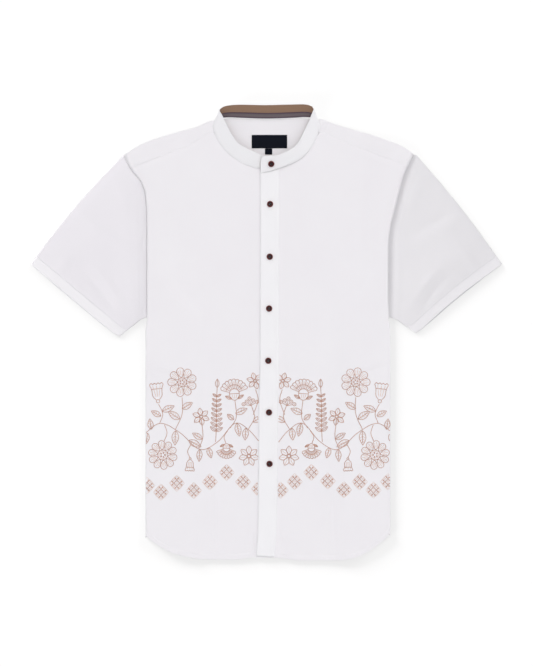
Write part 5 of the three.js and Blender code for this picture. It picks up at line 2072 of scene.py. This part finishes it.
@dataclass(frozen=True)
class SeamStitching:
    """White rows of lockstitch along hems, seams, placket and collar.

    A name that ends in _in is a row's distance inside its edge; _sunk and grooved are its depth in the cloth.
    """

    width: float = 0.55
    height: float = 0.14
    length: float = 2.2
    skip: float = 0.7
    hem_in: float = 0.6
    hem_lift: float = 0.6
    hem_spans: Pairs = ((-196.2, -19.0), (21.0, 199.6))
    yoke_in: float = 1.8
    yoke_spans: Pairs = ((-226.0, -89.0), (89.0, 232.0))
    placket_span: Pair = (-366.0, 266.0)
    placket_free_in: float = 5.5
    grooved: float = 0.16
    free_sunk: float = 0.06
    tack_sunk: float = 0.02
    tack: Pairs = ((-6.5, -321.0), (9.0, -321.0))
    beside_span: Pair = (-362.0, 262.0)
    beside: float = 4.2
    cuff_in: float = 16.0
    cuff_lift: float = 0.2
    collar_out: float = 0.42
    collar_end: float = 0.985

    def make(self, material: Material) -> Piece:
        """Sews all the rows.

        Args:
            material: Sewing thread.

        Returns:
            The rows, joined.
        """
        work = ThreadWork("seam_stitching", material, Slot.SHIRTING)
        self._hem(work)
        self._placket(work)
        self._yoke(work)
        self._cuffs(work)
        self._collar(work)
        return work.finish()

    def _sew(self, work: ThreadWork, line: Array, ground: Callable[[Array, Array], Array]) -> None:
        """Sews one row on the shirt."""
        work.row(line, ground, self.width, self.height, self.length, self.skip)

    def _hem(self, work: ThreadWork) -> None:
        """Sews along the hem of both fronts."""
        lift = BODY.hem_raise * self.hem_lift
        for low, high in self.hem_spans:
            x = np.linspace(low, high, 300)
            line = np.stack([x, PLAN.hem(x) + PLAN.hem_depth - self.hem_in], -1)
            self._sew(work, line, lambda a, b: BODY.top_of_front(a, b) + lift)

    def _placket(self, work: ThreadWork) -> None:
        """Sews the two rows along the placket, the row along its free edge, its tack, and the row beside it."""
        y = np.linspace(*self.placket_span, 400)
        for depth in PLACKET.stitch_in:
            self._sew(work, np.stack([PLACKET.right(y) - depth, y], -1), lambda a, b: PLACKET.top(a, b) - self.grooved)
        free = np.stack([PLACKET.left(y) + self.placket_free_in, y], -1)
        self._sew(work, free, lambda a, b: PLACKET.top(a, b) - self.free_sunk)
        self._sew(work, np.array(self.tack), lambda a, b: PLACKET.top(a, b) - self.tack_sunk)
        y = np.linspace(*self.beside_span, 400)
        self._sew(work, np.stack([PLACKET.left(y) - self.beside, y], -1), BODY.top_of_front)

    def _yoke(self, work: ThreadWork) -> None:
        """Sews along the front seams of the yoke."""
        yoke = Yoke()
        base = PLAN.layer_mid(1) + yoke.seam_raise + PLAN.shell / 2
        for low, high in self.yoke_spans:
            x = np.linspace(low, high, 160)
            line = np.stack([x, PLAN.yoke_seam(x) + self.yoke_in], -1)
            self._sew(work, line, lambda a, b: base + PLAN.lift(PLAN.straight(a, b), b) + creased(yoke.creases, a, b))

    def _cuffs(self, work: ThreadWork) -> None:
        """Sews along the turned hems of the sleeves."""
        q = np.linspace(0.015, 0.985, 220)
        for sleeve in (LEFT_SLEEVE, RIGHT_SLEEVE):
            points = sleeve.top_of(sleeve.cuff_share(q, self.cuff_in), q)
            start = points[0]
            reach = np.linalg.norm(points[:, :2] - start[:2], axis=1)
            level = points[:, 2] + self.cuff_lift
            self._sew(work, points[:, :2], lambda a, b: np.interp(np.hypot(a - start[0], b - start[1]), reach, level))

    def _collar(self, work: ThreadWork) -> None:
        """Sews along both edges of the collar band and across its end."""
        t = np.linspace(0.01, self.collar_end, 500)
        across = np.linspace(COLLAR.stitch_in, 1 - COLLAR.stitch_in, 30)
        rows = (
            (t, np.full_like(t, COLLAR.stitch_in)),
            (t, (1 - COLLAR.stitch_in) * COLLAR.top_share(t)),
            (np.full_like(across, self.collar_end), across),
        )
        for along, up in rows:
            line = COLLAR.point(along, up) + COLLAR.normal(along, up) * self.collar_out
            work.row_3d(line, self.width, self.height, self.length, self.skip)


@dataclass(frozen=True)
class Lamp:
    """Distant light: its strength, its width in degrees (wider is softer) and where it comes from."""

    name: str
    strength: float
    spread: float
    source: Triple
    colour: Triple = (1.0, 0.99, 0.985)

    def make(self, lit: Iterable[Piece] = ()) -> None:
        """Hangs the lamp.

        Args:
            lit: The only objects that it lights; none for everything.
        """
        light = bpy.data.lights.new(self.name, "SUN")
        light.energy = self.strength
        light.angle = math.radians(self.spread)
        light.color = self.colour
        lamp = bpy.data.objects.new(self.name, light)
        lamp.rotation_euler = Vector(self.source).to_track_quat("Z", "Y").to_euler()
        bpy.context.scene.collection.objects.link(lamp)
        chosen = list(lit)
        if chosen:
            group = bpy.data.collections.new(f"lit_by_{self.name}")
            for piece in chosen:
                group.objects.link(piece)
            lamp.light_linking.receiver_collection = group


@dataclass(frozen=True)
class Studio:
    """White table that glows, a camera straight above it, light from all round and six soft lamps.

    One lamp lights everything from above and one only the body; a low one from the left models the
    sleeves, and three, for the table alone, give the shirt its wide soft shadow.
    """

    floor_half_mm: float = 4000.0
    lens_mm: float = 120.0
    sensor_mm: float = 36.0
    field_mm: float = 1098.9
    centre_y_mm: float = -1.0
    sky: float = 0.68
    sky_colour: tuple[float, ...] = (0.985, 0.99, 1.0, 1.0)
    floor_glow: float = 0.69
    glow_colour: tuple[float, ...] = (1.0, 0.997, 0.997, 1.0)
    floor_colour: tuple[float, ...] = (0.12, 0.12, 0.12, 1.0)
    top: Lamp = Lamp("top", 0.75, 40.0, (0.0, 0.32, 0.95))
    body: Lamp = Lamp("body_fill", 0.55, 40.0, (0.2, 0.32, 0.92))
    side: Lamp = Lamp("side", 1.52, 42.0, (-0.9, 0.28, 0.35))
    rakes: tuple[Lamp, ...] = (
        Lamp("rake_upper_left", 21.0, 22.0, (-0.68, 0.74, 0.165)),
        Lamp("rake_upper_right", 7.5, 22.0, (0.62, 0.76, 0.19)),
        Lamp("rake_lower_left", 6.0, 22.0, (-0.8, -0.56, 0.19)),
    )

    def make(self) -> Piece:
        """Builds the table, the camera and the light from all round.

        Returns:
            The table.
        """
        scene = bpy.context.scene
        scene.view_settings.view_transform = "Standard"
        scene.view_settings.look = "None"
        camera = bpy.data.cameras.new("camera")
        camera.lens = self.lens_mm
        camera.sensor_width = self.sensor_mm
        camera.clip_end = 100
        holder = bpy.data.objects.new("camera", camera)
        distance = self.lens_mm / self.sensor_mm * self.field_mm
        holder.location = (0, self.centre_y_mm * MM, distance * MM)
        scene.collection.objects.link(holder)
        scene.camera = holder
        values = {
            "Base Color": self.floor_colour,
            "Emission Color": self.glow_colour,
            "Emission Strength": self.floor_glow,
            "Roughness": 0.9,
            "Specular IOR Level": 0.0,
        }
        floor, _, _ = new_material("white light table", values)
        reach = self.floor_half_mm
        corners = np.array([[-reach, -reach, 0], [reach, -reach, 0], [reach, reach, 0], [-reach, reach, 0]])
        table = make_object("table_top", corners, [(0, 1, 2, 3)], floor)
        world = bpy.data.worlds.new("white room")
        world.use_nodes = True
        background = world.node_tree.nodes["Background"]
        background.inputs["Color"].default_value = self.sky_colour
        background.inputs["Strength"].default_value = self.sky
        scene.world = world
        return table

    def light(self, table: Piece, sleeves: list[Piece], rest: list[Piece]) -> None:
        """Hangs the lamps.

        Args:
            table: The table.
            sleeves: Both sleeves.
            rest: All the other pieces of the shirt.
        """
        self.top.make()
        self.body.make(rest)
        self.side.make(sleeves)
        for rake in self.rakes:
            rake.make([table])


def main() -> None:
    """Builds the shirt piece by piece in its own order."""
    logging.basicConfig(level=logging.INFO, format="%(message)s")
    studio = Studio()
    table = studio.make()
    cotton = WovenCloth("white cotton poplin", "#E9E7EA", "#E6E3E7").make()
    doubled = WovenCloth("white cotton poplin over interlining", "#EDECEE", "#E9E8EB").make()
    # Left sleeve cloth: its base colours are darker than the body's shirting as painted shade, the tone of a sleeve
    # that rounds away from the light; its turned hem shows the plain shirting colour without that painted shade.
    left_sleeve_painted_shade_cloth = WovenCloth(
        "white cotton poplin with painted shade, left sleeve", "#E5E2E6", "#E2DFE4", turned="#E9E7EA"
    ).make()
    # Right sleeve cloth: darker still, painted shade of a sleeve that turns away from the light beside the body's
    # raised edge; its turned hem keeps a little of that painted shade.
    right_sleeve_painted_shade_cloth = WovenCloth("white cotton poplin with darker painted shade, right sleeve", "#E1DFE2", "#DDDBDE", turned="#E6E4E7").make()
    tan = WovenCloth("tan cotton", "#927560", "#866A56", thread_mm=0.8, relief=0.25).make()
    tape = TwillTape().make()
    ribbon = WovenCloth(
        "woven polyester label", "#12151F", "#0E111A", thread_mm=0.6, relief=0.2, roughness=0.7, sheen=0.0, shine=0.05
    ).make()
    resin = CastResin().make()
    sewing = SpunThread("white polyester thread", "#ECEBEE", "#E2E1E6").make()
    dark_thread = SpunThread("dark red polyester thread", "#3A2022", "#2A1618").make()
    rose = SpunThread("tan pink rayon thread", "#C3927D", "#B7856F", roughness=0.42).make()
    pale = SpunThread("pale pink rayon thread", "#DCB5A1", "#D2A994", roughness=0.45).make()

    BODY.back(cotton)
    Yoke().make(cotton)
    sleeves = [LEFT_SLEEVE.make(left_sleeve_painted_shade_cloth), RIGHT_SLEEVE.make(right_sleeve_painted_shade_cloth)]
    for side in Side:
        BODY.front(side, cotton)
    PLACKET.make(doubled)
    COLLAR.make(doubled, tan, tape)
    WovenPatch("neck_label_weave", "neck_label", -24.4, 34, 303.6, 325.7).make(ribbon)
    WovenPatch("size_tab_weave", "size_tab", -2.5, 9.4, 293.4, 303.3, 1.4, 0.8).make(ribbon)
    Buttons().make(resin, dark_thread)
    SeamStitching().make(sewing)
    Border().make(rose, pale)
    kept = [piece for piece in bpy.context.scene.objects if piece.type == "MESH" and not piece.hide_render]
    studio.light(table, sleeves, [piece for piece in kept if piece not in sleeves and piece != table])


if __name__ == "__main__":
    main()
